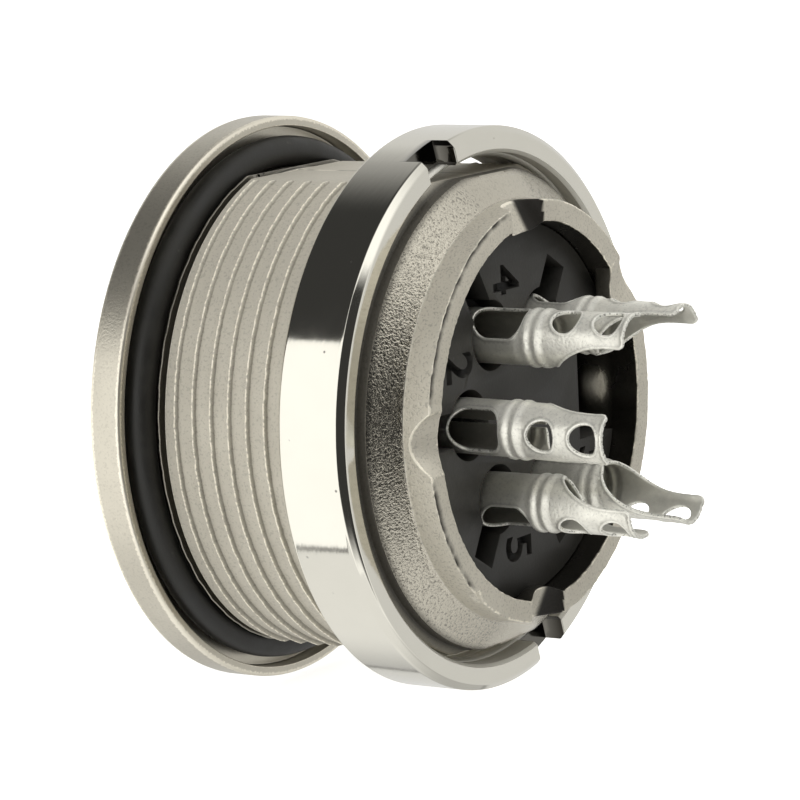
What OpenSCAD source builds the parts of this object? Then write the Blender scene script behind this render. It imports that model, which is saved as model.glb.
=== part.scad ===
// Panel-mount circular signal connector, female, five poles, solder side to +X.
// The connector axis is X. The flange's rear face, which seats on the panel, is at X = 0.
// The flats of the barrel face +Z and -Z, and the middle contact is on the -Y side.
// Angles round the axis are counted from the -Y side towards +Z.

/* [Flange] */
// Thickness of the flange
flange_t = 1.3; // [1:0.05:2.5]
// Rounding of the flange's two outer edges
flange_edge_r = 0.2; // [0.1:0.05:0.3]
// Width of the lip round the seal groove, which seats on the panel
flange_lip_w = 0.375; // [0.35:0.025:3]

/* [Panel seal] */
// Section diameter of the seal ring
seal_section_d = 1.2; // [1:0.05:2]
// Depth of the seal groove in the flange's rear face
seal_groove_depth = 0.62; // [0.3:0.02:0.8]
// Gap between the seal ring and the groove's outer wall
seal_groove_gap = 0.26; // [0.05:0.01:0.5]
// Play between the seal ring and the crest of the first thread turn
seal_play = 0.15; // [0.12:0.01:0.3]
// Gap between the seal ring and the neck and groove floor that it sits on
seal_seat_gap = 0.025; // [0.01:0.005:0.05]

/* [Barrel] */
// Major diameter of the panel thread
thread_d = 18; // [16:0.1:24]
// Pitch of the panel thread
thread_pitch = 0.75; // [0.5:0.05:1]
// Number of thread turns
thread_turns = 11; // [8:1:16]
// Step from the thread's root down to the neck under the seal ring
neck_step = 0.14; // [0.05:0.01:0.3]
// Depth of the two flats below the thread's crest
flat_depth = 0.65; // [0.3:0.05:0.9]
// Wall left between a flat and the front socket
barrel_wall = 0.75; // [0.5:0.05:1.5]

/* [Rear collar] */
// Drop of the cone between the thread's root and the collar
shoulder_h = 1.09; // [0.6:0.05:1.6]
// Length of the cone along the axis
shoulder_l = 0.8; // [0.5:0.05:2]
// Wall of the collar
collar_wall = 0.78; // [0.5:0.02:1]
// Length of the collar
collar_l = 1.08; // [0.8:0.02:2]
// Diameter of the punch that stakes the collar over the insert
stake_d = 2; // [1.4:0.1:2.4]
// Depth of the punch mark in the collar's rear face
stake_depth = 0.45; // [0.3:0.05:0.6]
// How far a staked lug reaches in over the insert
stake_reach = 0.35; // [0.2:0.05:0.6]
// Angles of the four stakes
stake_angles = [0, 86, 148, -88]; // [-180:1:180]

/* [Front socket] */
// Depth of the front socket that takes the plug
socket_depth = 7.75; // [6:0.05:8.5]
// Chamfer at the mouth of the front socket
socket_chamfer = 0.4; // [0.2:0.05:0.6]
// Thickness of the web between the front socket and the insert's bore
web_t = 0.8; // [0.5:0.05:1.2]
// Gap round the insert's post where it passes the web
web_gap = 1.1; // [0.4:0.05:1.3]

/* [Ring nut] */
// Radial thickness of the ring nut
nut_wall = 0.94; // [0.8:0.02:3]
// Width of the ring nut along the axis
nut_w = 2.7; // [2:0.05:3.5]
// Distance of the nut's rear face from the start of the cone
nut_inset = 0; // [-0.5:0.05:1]
// Chamfer of the nut's outer edges, along the face
nut_chamfer_face = 0.24; // [0.2:0.02:0.5]
// Chamfer of the nut's outer edges, along the rim
nut_chamfer_rim = 0.2; // [0.06:0.02:0.4]
// Countersink at both ends of the nut's thread
nut_countersink = 0.12; // [0.05:0.01:0.2]
// Play between the nut's bore and the panel thread
nut_play = 0.06; // [0.03:0.01:0.15]
// Width of the two spanner slots in the nut's rear face
nut_slot_w = 1.8; // [1.2:0.1:2.4]
// Depth of the spanner slots
nut_slot_depth = 0.85; // [0.5:0.05:1.2]
// Angle of the first spanner slot
nut_slot_angle = 72; // [0:1:180]

/* [Insert] */
// Play between the insert and the bore, web and stakes of the shell
insert_play = 0.04; // [0.02:0.01:0.1]
// Depth of the insert's rear face below the collar's end
insert_recess = 1; // [0.7:0.02:1.4]
// Wall between a contact's bore and the outside of the front post
post_wall = 0.545; // [0.4:0.005:1]
// Depth of the post's end below the mating face
post_recess = 0.95; // [0.5:0.05:2]
// Width of the polarising groove in the post
key_w = 1.6; // [1:0.1:2]
// Depth of the polarising groove in the post
key_depth = 0.7; // [0.4:0.05:1]
// Width of the latch slots in the insert's rear face
latch_slot_w = 1.25; // [0.8:0.05:1.5]
// Length of the latch slots from the contact's axis outwards
latch_slot_l = 2.35; // [1.6:0.05:2.6]
// Depth of the latch slots
latch_slot_depth = 1.5; // [0.8:0.1:2]

/* [Contacts] */
// Diameter of the circle that the contacts stand on
contact_circle_d = 6.7; // [6.5:0.05:7]
// Outer diameter of a contact's rolled tube
contact_d = 1.95; // [1.7:0.05:2.2]
// Thickness of the contact's sheet
contact_wall = 0.15; // [0.1:0.01:0.3]
// Play between a contact and its bore in the insert
contact_play = 0.03; // [0.02:0.01:0.06]
// Play around a contact at the insert's rear face
contact_mouth_play = 0.27; // [0.1:0.01:0.35]
// Depth of that wider mouth
contact_mouth_depth = 1; // [0.6:0.1:1.6]
// Thickness of the insert's front wall over the contacts
contact_cover_t = 1.1; // [0.6:0.05:1.6]
// Play of the pin hole in that wall round the contact's bore
pin_hole_play = 0.1; // [0.02:0.01:0.15]
// Width of the seam where the contact's sheet meets
seam_w = 0.12; // [0.06:0.01:0.2]
// Turn of the two contacts beside the middle one, towards it
front_pair_turn = 6; // [0:1:30]
// Turn of the two rearmost contacts, towards the middle one
rear_pair_turn = 12; // [0:1:30]

/* [Contact tail] */
// Length of the window in the tube's outer side
window_l = 2; // [1.6:0.05:2.4]
// Width of the window
window_w = 1.4; // [1:0.05:1.5]
// Depth of the window's round end below the insert's rear face
window_sunk = 0.3; // [0.2:0.05:0.5]
// Width of the pair of stiffening beads behind the window
bead_w = 0.86; // [0.6:0.02:1.2]
// Height of the beads above the tube
bead_h = 0.07; // [0.04:0.01:0.1]
// Length of a bead's sloping side along the axis
bead_flank = 0.13; // [0.05:0.01:0.14]
// Diameter of the two wire holes in the solder cup
wire_hole_d = 1; // [0.7:0.05:1.1]
// Distance from the beads to the first wire hole
wire_hole_start = 0.85; // [0.7:0.05:1.5]
// Distance between the two wire holes
wire_hole_pitch = 1.7; // [1.3:0.05:2.2]
// Distance from the last wire hole to the tip
wire_hole_edge = 0.75; // [0.7:0.05:1.5]
// Length of the cup's straight edge at the tip
cup_land_l = 0.5; // [0.2:0.05:1]
// Drop of the cup's edge below the tube's axis at the tip
cup_edge_drop = 0.42; // [0.2:0.02:0.6]

/* [Hidden] */
$fn = 96;
// Overlap that lets a cut pass clean through a face
cut = 0.05;
// Steps of a drawn arc or sloping edge
arc_steps = 8;

// Basic profile of a 60 degree thread
thread_depth_ratio = 0.6134;
thread_r = thread_d / 2;
thread_root_r = thread_r - thread_depth_ratio * thread_pitch;
crest_flat = thread_pitch / 8;
root_flat = thread_pitch / 4;

// The seal ring sits on the neck and against the floor of its groove
neck_r = thread_root_r - neck_step;
seal_r = seal_section_d / 2;
seal_mid_r = neck_r + seal_seat_gap + seal_r;
seal_mid_x = seal_seat_gap + seal_r - seal_groove_depth;
seal_groove_r = seal_mid_r + seal_r + seal_groove_gap;
flange_r = seal_groove_r + flange_lip_w;
mating_x = -flange_t;

// The thread starts right behind the seal ring, half a root before its first turn
thread_x = seal_mid_x + seal_r + seal_play - (thread_pitch - crest_flat) / 2;
thread_end_x = thread_x + thread_turns * thread_pitch;
shoulder_x = thread_end_x + thread_pitch / 2;
collar_x = shoulder_x + shoulder_l;
rear_x = collar_x + collar_l;

flat_r = thread_r - flat_depth;
socket_r = flat_r - barrel_wall;
socket_end_x = mating_x + socket_depth;
collar_r = thread_root_r - shoulder_h;
insert_bore_r = collar_r - collar_wall;
insert_seat_x = socket_end_x + web_t;
stake_floor_x = rear_x - stake_depth;

nut_rear_x = shoulder_x - nut_inset;
nut_front_x = nut_rear_x - nut_w;
nut_bore_r = thread_r + nut_play;
nut_r = nut_bore_r + nut_wall;

contact_r = contact_d / 2;
contact_bore_r = contact_r - contact_wall;
contact_circle_r = contact_circle_d / 2;
// Five of six places on the circle; the sixth, on the +Y side, holds the polarising groove
contact_step = 60;
contact_angles = [for (place = [2 : -1 : -2]) place * contact_step];
contact_turns = [-rear_pair_turn, -front_pair_turn, 0, front_pair_turn, rear_pair_turn];

insert_front_x = insert_seat_x + insert_play;
insert_rear_x = rear_x - insert_recess;
insert_r = insert_bore_r - insert_play;
post_r = contact_circle_r + contact_r + contact_play + post_wall;
post_x = mating_x + post_recess;
web_hole_r = post_r + web_gap;

contact_front_x = post_x + contact_cover_t;
window_x = insert_rear_x - window_sunk;
bead_x = window_x + window_l;
cup_x = bead_x + bead_w;
first_hole_x = cup_x + wire_hole_start;
last_hole_x = first_hole_x + wire_hole_pitch;
contact_tip_x = last_hole_x + wire_hole_edge;
cup_slope_l = contact_tip_x - cup_land_l - cup_x;

nickel = [0.75, 0.73, 0.69];
bright_nickel = [0.86, 0.86, 0.84];
rubber_black = [0.1, 0.1, 0.1];
plastic_black = [0.22, 0.22, 0.21];
tin = [0.8, 0.8, 0.78];

// Arc of [radius, x] points round a centre, from angle a to angle b
function arc(centre, r, a, b) =
    [for (i = [0 : arc_steps]) let (t = a + (b - a) * i / arc_steps)
        [centre[0] + r * cos(t), centre[1] + r * sin(t)]];

// Height of the solder cup's edge above the tube's axis, for t from 0 at the beads to 1 at the land
function cup_edge(t) = (contact_r + cup_edge_drop) * pow(1 - t, 3) - cup_edge_drop;

// Turns a profile of [radius, x] points round the X axis
module turned(profile) {
    rotate([0, 90, 0])
        rotate_extrude()
            polygon(profile);
}

// A round bar along X
module bar(r, x0, x1) {
    translate([x0, 0, 0])
        rotate([0, 90, 0])
            cylinder(r = r, h = x1 - x0);
}

// Puts its children at a radius and angle round the axis, with their own -Y side outwards
module around(radius, angle) {
    rotate([-angle, 0, 0])
        translate([0, -radius, 0])
            children();
}

// Outline of the shell's outside, from the mating face to the collar's end
function shell_outside() = concat(
    [[socket_r + socket_chamfer, mating_x]],
    arc([flange_r - flange_edge_r, mating_x + flange_edge_r], flange_edge_r, -90, 0),
    arc([flange_r - flange_edge_r, -flange_edge_r], flange_edge_r, 0, 90),
    [[seal_groove_r, 0],
     [seal_groove_r, -seal_groove_depth],
     [neck_r, -seal_groove_depth],
     [neck_r, thread_x]],
    [for (i = [0 : thread_turns - 1])
        let (crest_x = thread_x + (i + 0.5) * thread_pitch)
        each [[thread_root_r, crest_x - thread_pitch / 2 + root_flat / 2],
              [thread_r, crest_x - crest_flat / 2],
              [thread_r, crest_x + crest_flat / 2],
              [thread_root_r, crest_x + thread_pitch / 2 - root_flat / 2]]],
    [[thread_root_r, shoulder_x],
     [collar_r, collar_x],
     [collar_r, rear_x]]);

// Outline of the shell's inside, from the collar's end to the mating face
function shell_inside() = [
    [insert_bore_r, rear_x],
    [insert_bore_r, insert_seat_x],
    [web_hole_r, insert_seat_x],
    [web_hole_r, socket_end_x],
    [socket_r, socket_end_x],
    [socket_r, mating_x + socket_chamfer]];

// Metal that a stake pushes in over the insert's rear face
module stake_lug(angle) {
    intersection() {
        around(insert_bore_r, angle)
            bar(stake_d / 2, insert_rear_x + insert_play, stake_floor_x);
        difference() {
            bar(collar_r, insert_rear_x, rear_x);
            bar(insert_bore_r - stake_reach, insert_rear_x - cut, rear_x + cut);
        }
    }
}

// Cut that leaves one flat along the barrel and its cone, with the flat towards +Z
module flat_cut() {
    translate([thread_x, -thread_r, flat_r])
        cube([collar_x - thread_x, thread_d, flat_depth + cut]);
}

// Die-cast and plated body: flange, neck, threaded barrel with two flats, and staked collar
module shell() {
    union() {
        difference() {
            turned(concat(shell_outside(), shell_inside()));
            flat_cut();
            rotate([180, 0, 0])
                flat_cut();
            for (angle = stake_angles)
                around(insert_bore_r, angle)
                    bar(stake_d / 2, stake_floor_x, rear_x + cut);
        }
        for (angle = stake_angles)
            stake_lug(angle);
    }
}

// Stretch of the shell between two stations, so that each stretch bends round no hollow
module shell_stretch(x0, x1) {
    color(nickel)
    intersection() {
        shell();
        translate([x0, -flange_r - cut, -flange_r - cut])
            cube([x1 - x0, 2 * (flange_r + cut), 2 * (flange_r + cut)]);
    }
}

// Front of the shell, up to the face that seats on the panel
module flange() {
    shell_stretch(mating_x - cut, 0);
}

// Middle of the shell, the threaded tube round the front socket
module barrel() {
    shell_stretch(0, socket_end_x);
}

// Rear of the shell, from the web behind the front socket to the staked end
module collar() {
    shell_stretch(socket_end_x, rear_x + cut);
}

// Rubber ring between the flange and the panel
module panel_seal() {
    color(rubber_black)
    translate([seal_mid_x, 0, 0])
        rotate([0, 90, 0])
            rotate_extrude()
                translate([seal_mid_r, 0])
                    circle(r = seal_r);
}

// Round nut with two spanner slots, on the panel thread
module ring_nut() {
    color(bright_nickel)
    difference() {
        turned([[nut_bore_r + nut_countersink, nut_front_x],
                [nut_r - nut_chamfer_face, nut_front_x],
                [nut_r, nut_front_x + nut_chamfer_rim],
                [nut_r, nut_rear_x - nut_chamfer_rim],
                [nut_r - nut_chamfer_face, nut_rear_x],
                [nut_bore_r + nut_countersink, nut_rear_x],
                [nut_bore_r, nut_rear_x - nut_countersink],
                [nut_bore_r, nut_front_x + nut_countersink]]);
        for (half_turn = [0, 180])
            rotate([-nut_slot_angle - half_turn, 0, 0])
                translate([nut_rear_x - nut_slot_depth, -nut_r - cut, -nut_slot_w / 2])
                    cube([nut_slot_depth + cut, nut_r, nut_slot_w]);
    }
}

// Stepped bores for the five contacts, from the pin holes to the wider mouths
module contact_bores() {
    for (angle = contact_angles)
        around(contact_circle_r, angle) {
            bar(contact_bore_r + pin_hole_play, post_x - cut, contact_front_x + cut);
            bar(contact_r + contact_play, contact_front_x, insert_rear_x + cut);
            bar(contact_r + contact_mouth_play, insert_rear_x - contact_mouth_depth, insert_rear_x + cut);
        }
}

// Front of the moulded carrier, a post that reaches into the front socket
module contact_post() {
    color(plastic_black)
    difference() {
        bar(post_r, post_x, insert_front_x);
        translate([post_x - cut, post_r - key_depth, -key_w / 2])
            cube([socket_end_x - post_x + cut, key_depth + cut, key_w]);
        contact_bores();
    }
}

// Rear of the moulded carrier, a disc held in the collar
module contact_insert() {
    color(plastic_black)
    difference() {
        bar(insert_r, insert_front_x, insert_rear_x);
        contact_bores();
        for (angle = contact_angles)
            around(contact_circle_r + latch_slot_l, angle)
                translate([insert_rear_x - latch_slot_depth, 0, -latch_slot_w / 2])
                    cube([latch_slot_depth + cut, latch_slot_l, latch_slot_w]);
    }
}

// Cut that opens the tube into a solder cup, with the open side towards +Y
module cup_opening() {
    translate([0, 0, -contact_d])
        linear_extrude(2 * contact_d)
            polygon(concat(
                [for (i = [0 : arc_steps]) [cup_x + cup_slope_l * i / arc_steps, cup_edge(i / arc_steps)]],
                [[contact_tip_x + cut, -cup_edge_drop],
                 [contact_tip_x + cut, contact_d],
                 [cup_x, contact_d]]));
}

// Round hole through the tube's outer side, which is towards -Y
module outer_hole(x, d) {
    translate([x, 0, 0])
        rotate([90, 0, 0])
            cylinder(d = d, h = contact_d);
}

// One of the two stiffening beads, as a solid of revolution from its start
module bead(x) {
    turned([[0, x],
            [contact_r, x],
            [contact_r + bead_h, x + bead_flank],
            [contact_r + bead_h, x + bead_w / 2 - bead_flank],
            [contact_r, x + bead_w / 2],
            [0, x + bead_w / 2]]);
}

// Rolled sheet contact along X: pin socket, window, two beads and a solder cup with two wire holes
module contact_blank() {
    difference() {
        union() {
            bar(contact_r, contact_front_x, contact_tip_x);
            bead(bead_x);
            bead(bead_x + bead_w / 2);
        }
        bar(contact_bore_r, contact_front_x - cut, contact_tip_x + cut);
        translate([contact_front_x - cut, 0, -seam_w / 2])
            cube([cup_x - contact_front_x + 2 * cut, contact_d, seam_w]);
        outer_hole(window_x + window_w / 2, window_w);
        translate([window_x + window_w / 2, -contact_d, -window_w / 2])
            cube([window_l - window_w / 2, contact_d, window_w]);
        outer_hole(first_hole_x, wire_hole_d);
        outer_hole(last_hole_x, wire_hole_d);
        cup_opening();
    }
}

// One of the five contacts, at its place in the insert
module contact(index) {
    color(tin)
    around(contact_circle_r, contact_angles[index - 1])
        rotate([-contact_turns[index - 1], 0, 0])
            contact_blank();
}

flange();
barrel();
collar();
panel_seal();
ring_nut();
contact_post();
contact_insert();
contact(1);  // contact_1
contact(2);  // contact_2
contact(3);  // contact_3
contact(4);  // contact_4
contact(5);  // contact_5
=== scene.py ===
"""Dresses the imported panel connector: cast shell, ring nut, seal, contact carrier and solder contacts.

Sizes are millimetres in the connector's own frame and meshes are written in metres. The axis is X, the
flange seats on the panel at X = 0, and angles round the axis run from the -Y side towards +Z.
"""

import logging
import math
from dataclasses import dataclass
from enum import Enum
from typing import Any, Sequence

import bmesh
import bpy
import numpy as np
from bpy.types import ID, Material, Mesh, Node, NodeSocket, NodeTree, Object, World
from mathutils import Matrix, Vector
from mathutils.geometry import delaunay_2d_cdt

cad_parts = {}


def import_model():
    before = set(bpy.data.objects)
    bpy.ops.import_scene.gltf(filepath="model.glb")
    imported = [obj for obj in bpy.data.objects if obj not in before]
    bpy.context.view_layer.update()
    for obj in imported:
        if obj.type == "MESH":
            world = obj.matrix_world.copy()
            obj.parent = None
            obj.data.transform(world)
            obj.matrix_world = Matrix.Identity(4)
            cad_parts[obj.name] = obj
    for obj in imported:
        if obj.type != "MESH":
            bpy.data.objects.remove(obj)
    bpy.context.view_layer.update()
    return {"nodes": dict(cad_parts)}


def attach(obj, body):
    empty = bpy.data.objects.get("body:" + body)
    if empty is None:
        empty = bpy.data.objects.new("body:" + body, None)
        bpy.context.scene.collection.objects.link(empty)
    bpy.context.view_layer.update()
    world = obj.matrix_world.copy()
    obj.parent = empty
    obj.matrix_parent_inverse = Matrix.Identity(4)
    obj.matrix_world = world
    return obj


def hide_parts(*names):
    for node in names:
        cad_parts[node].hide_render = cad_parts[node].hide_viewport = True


LOG = logging.getLogger("connector")
MM = 0.001
FULL_TURN = 2.0 * math.pi
QUARTER_TURN = 0.5 * math.pi
RIPPLE_WAVES = ((0.5, 3.1, 1.0), (0.3, 7.3, 2.1), (0.2, 17.9, 3.7))
"""Height, rate and share of the seed in each wave of an uneven edge."""

Faces = list[tuple[int, ...]]
Rgba = tuple[float, float, float, float]
Span = tuple[float, float]


class Body(Enum):
    """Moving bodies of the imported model."""

    CONNECTOR = "connector"
    NUT = "nut"


class Slot(Enum):
    """Material slots of the record."""

    CAST = "satin_nickel"
    BRIGHT = "bright_nickel"
    RUBBER = "seal_rubber"
    PLASTIC = "insert_plastic"
    TIN = "contact_tin"


class Mark(Enum):
    """Names of the per-point values that the finishes read."""

    GRAIN = "grain"
    EDGE = "edge"
    # Soil and shade: real soil, seams and cracks, and painted shade in gaps, recesses, slots and under
    # ridges.
    SOIL_AND_SHADE = "soil"
    MATT = "matt"


class Socket(Enum):
    """Kinds of socket that the node trees have."""

    FLOAT = "NodeSocketFloat"
    INT = "NodeSocketInt"
    VECTOR = "NodeSocketVector"
    SHAPE = "NodeSocketGeometry"
    MATERIAL = "NodeSocketMaterial"


class Zone(Enum):
    """Surfaces of a turned or cast piece."""

    FRONT = "front"
    RIM = "rim"
    LIP = "lip"
    GROOVE = "groove"
    NECK = "neck"
    BEAD = "bead"
    BARREL = "barrel"
    CONE = "cone"
    COLLAR = "collar"
    REAR = "rear"
    BORE = "bore"
    SOCKET = "socket"


ZONE_SKIN: dict[Zone, tuple[float, float]] = {
    Zone.FRONT: (0.08, 0.10), Zone.RIM: (0.24, 0.30), Zone.LIP: (0.15, 0.30), Zone.GROOVE: (0.12, 0.30),
    Zone.NECK: (0.22, 0.30), Zone.BEAD: (0.30, 0.25), Zone.BARREL: (0.40, 1.00), Zone.CONE: (1.00, 0.00),
    Zone.COLLAR: (0.55, 0.70), Zone.REAR: (0.45, 0.88), Zone.BORE: (0.25, 0.15), Zone.SOCKET: (0.10, 0.10)}
"""Casting grain and mattness of each surface."""


def ease(low: float, high: float, value: Any) -> Any:
    """Smooth step of a value.

    Args:
        low: Value where the step starts.
        high: Value where the step ends; it may be below low.
        value: Number or array to step.

    Returns:
        Zero before the step, one after it.
    """
    t = np.clip((np.asarray(value) - low) / (high - low), 0.0, 1.0)
    return t * t * (3.0 - 2.0 * t)


def ripple(value: Any, seed: float) -> Any:
    """Fixed wavy signal for edges that are not quite even.

    Args:
        value: Number or array along the edge.
        seed: Shift that makes one edge differ from the next.

    Returns:
        Values between about -1 and 1.
    """
    v = np.asarray(value)
    return sum(height * np.sin(rate * v + shift * seed) for height, rate, shift in RIPPLE_WAVES)


@dataclass(frozen=True)
class Tatter:
    """Fixed random unevenness round the axis: ups and downs in a turn, seed, middle level and swing."""

    knots: int
    seed: int
    level: float = 0.0
    swing: float = 1.0

    def at(self, angle: np.ndarray) -> np.ndarray:
        """Reads the unevenness off.

        Args:
            angle: Angles round the axis in radians.

        Returns:
            Values about the level that close after a full turn.
        """
        knot = np.random.default_rng(self.seed).uniform(-1.0, 1.0, self.knots)
        place = (angle % FULL_TURN) / FULL_TURN * self.knots
        wave = np.interp(place, np.arange(self.knots + 1), np.append(knot, knot[0]))
        return self.level + self.swing * wave


def polar(x: Any, radius: Any, angle: Any) -> np.ndarray:
    """Places points by station, radius and angle.

    Args:
        x: Stations along the axis.
        radius: Distances from the axis.
        angle: Angles round the axis in radians, from -Y towards +Z.

    Returns:
        Array of points, with the three coordinates last.
    """
    return np.stack(np.broadcast_arrays(x, -radius * np.cos(angle), radius * np.sin(angle)), axis=-1)


def angle_from(angle: np.ndarray, centre: Any, turn: float = FULL_TURN) -> np.ndarray:
    """Signed difference of angles, between minus and plus half a turn."""
    return (angle - centre + turn / 2.0) % turn - turn / 2.0


def outward(points: np.ndarray, faces: Faces) -> Faces:
    """Turns a closed mesh right side out.

    Args:
        points: Corner points.
        faces: Faces as tuples of point numbers, all turning the same way.

    Returns:
        The faces, reversed if they enclosed a negative volume.
    """
    volume = 0.0
    for face in faces:
        a = points[face[0]]
        for k in range(1, len(face) - 1):
            volume += float(np.dot(a, np.cross(points[face[k]], points[face[k + 1]])))
    return faces if volume > 0.0 else [tuple(reversed(face)) for face in faces]


def add_object(name: str, data: ID) -> Object:
    """Makes an object and links it to the scene.

    Args:
        name: Name of the object.
        data: Its mesh, curve, light or camera.

    Returns:
        The new object.
    """
    thing = bpy.data.objects.new(name, data)
    bpy.context.scene.collection.objects.link(thing)
    return thing


def set_mark(mesh: Mesh, mark: Mark, values: np.ndarray) -> None:
    """Writes a per-point value for the finish."""
    layer = mesh.attributes.new(mark.value, "FLOAT", "POINT")
    layer.data.foreach_set("value", np.ascontiguousarray(values, dtype=np.float32))


def read_points(mesh: Mesh) -> np.ndarray:
    """Reads a mesh's points.

    Args:
        mesh: Mesh to read.

    Returns:
        Its points in metres, one to a row.
    """
    places = np.zeros(3 * len(mesh.vertices), np.float32)
    mesh.vertices.foreach_get("co", places)
    return places.reshape(-1, 3)


def make_piece(name: str, points: np.ndarray, faces: Faces, finish: Material,
               marks: dict[Mark, np.ndarray]) -> Object:
    """Makes a smooth-shaded object from points in millimetres.

    Args:
        name: Name of the piece.
        points: Corner points in millimetres.
        faces: Faces as tuples of point numbers.
        finish: Material of the piece.
        marks: Per-point values for the finish.

    Returns:
        The new object, linked to the scene.
    """
    mesh = bpy.data.meshes.new(name)
    mesh.from_pydata((points * MM).tolist(), [], outward(points, faces))
    for mark, values in marks.items():
        set_mark(mesh, mark, values)
    mesh.shade_smooth()
    mesh.materials.append(finish)
    return add_object(name, mesh)


def ring_faces(rows: int, cols: int) -> Faces:
    """Quads of a grid that closes both round its section and round the axis.

    Args:
        rows: Points round the section.
        cols: Points round the axis.

    Returns:
        The quads, for points numbered row by row.
    """
    r, c = np.meshgrid(np.arange(rows), np.arange(cols), indexing="ij")
    r2 = (r + 1) % rows
    c2 = (c + 1) % cols
    quads = np.stack([r * cols + c, r2 * cols + c, r2 * cols + c2, r * cols + c2], axis=-1)
    return [tuple(q) for q in quads.reshape(-1, 4).tolist()]


def settle(piece: Object) -> Object:
    """Replaces a piece with live modifiers by a plain mesh of what they make.

    Args:
        piece: Object with modifiers.

    Returns:
        A plain object of the same name.
    """
    name = piece.name
    depsgraph = bpy.context.evaluated_depsgraph_get()
    mesh = bpy.data.meshes.new_from_object(piece.evaluated_get(depsgraph))
    piece.modifiers.clear()
    bpy.data.objects.remove(piece)
    mesh.name = name
    work = bmesh.new()
    work.from_mesh(mesh)
    bmesh.ops.recalc_face_normals(work, faces=work.faces)
    work.to_mesh(mesh)
    work.free()
    mesh.shade_smooth()
    return add_object(name, mesh)


@dataclass
class Net:
    """One node tree, with short ways to add and join its nodes."""

    tree: NodeTree

    def add(self, kind: str, feeds: dict[Any, Any] | None = None, **settings: Any) -> Node:
        """Adds a node.

        Args:
            kind: Type name of the node.
            feeds: Input name or number, with a socket to link or a value to set.
            settings: Properties of the node.

        Returns:
            The new node.
        """
        node = self.tree.nodes.new(kind)
        for key, value in settings.items():
            setattr(node, key, value)
        for key, value in (feeds or {}).items():
            self.feed(node, key, value)
        return node

    def feed(self, node: Node, key: Any, value: Any) -> None:
        """Links a socket to an input, or sets the input's value.

        Args:
            node: Node that has the input.
            key: Name or number of the input.
            value: Socket to link or value to set.
        """
        if isinstance(value, NodeSocket):
            self.tree.links.new(value, node.inputs[key])
        else:
            node.inputs[key].default_value = value

    def math(self, operation: str, a: Any, b: Any = 0.0) -> NodeSocket:
        """Result of one sum of two sockets or numbers."""
        return self.add("ShaderNodeMath", {0: a, 1: b}, operation=operation).outputs[0]

    def product(self, first: Any, *others: Any) -> NodeSocket:
        """Product of several sockets or numbers.

        Args:
            first: First factor.
            others: Further factors, in order.

        Returns:
            The product.
        """
        result = first
        for other in others:
            result = self.math("MULTIPLY", result, other)
        return result

    def step(self, value: Any, low: Any, high: Any, out_low: float = 0.0,
             out_high: float = 1.0) -> NodeSocket:
        """Smooth step of a socket from one level to another."""
        return self.add("ShaderNodeMapRange", {0: value, 1: low, 2: high, 3: out_low, 4: out_high},
                        interpolation_type="SMOOTHSTEP").outputs[0]

    def mix(self, share: Any, a: Any, b: Any) -> NodeSocket:
        """Mix of two colours by a share."""
        return self.add("ShaderNodeMix", {0: share, 6: a, 7: b}, data_type="RGBA").outputs[2]

    def mark(self, mark: Mark) -> NodeSocket:
        """Per-point value of the piece."""
        return self.add("ShaderNodeAttribute", attribute_name=mark.value).outputs["Fac"]

    def noise(self, vector: Any, scale: Any, detail: float = 2.0, rough: float = 0.5) -> NodeSocket:
        """Noise value at a place."""
        feeds = {"Vector": vector, "Scale": scale, "Detail": detail, "Roughness": rough}
        return self.add("ShaderNodeTexNoise", feeds).outputs[0]


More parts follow.
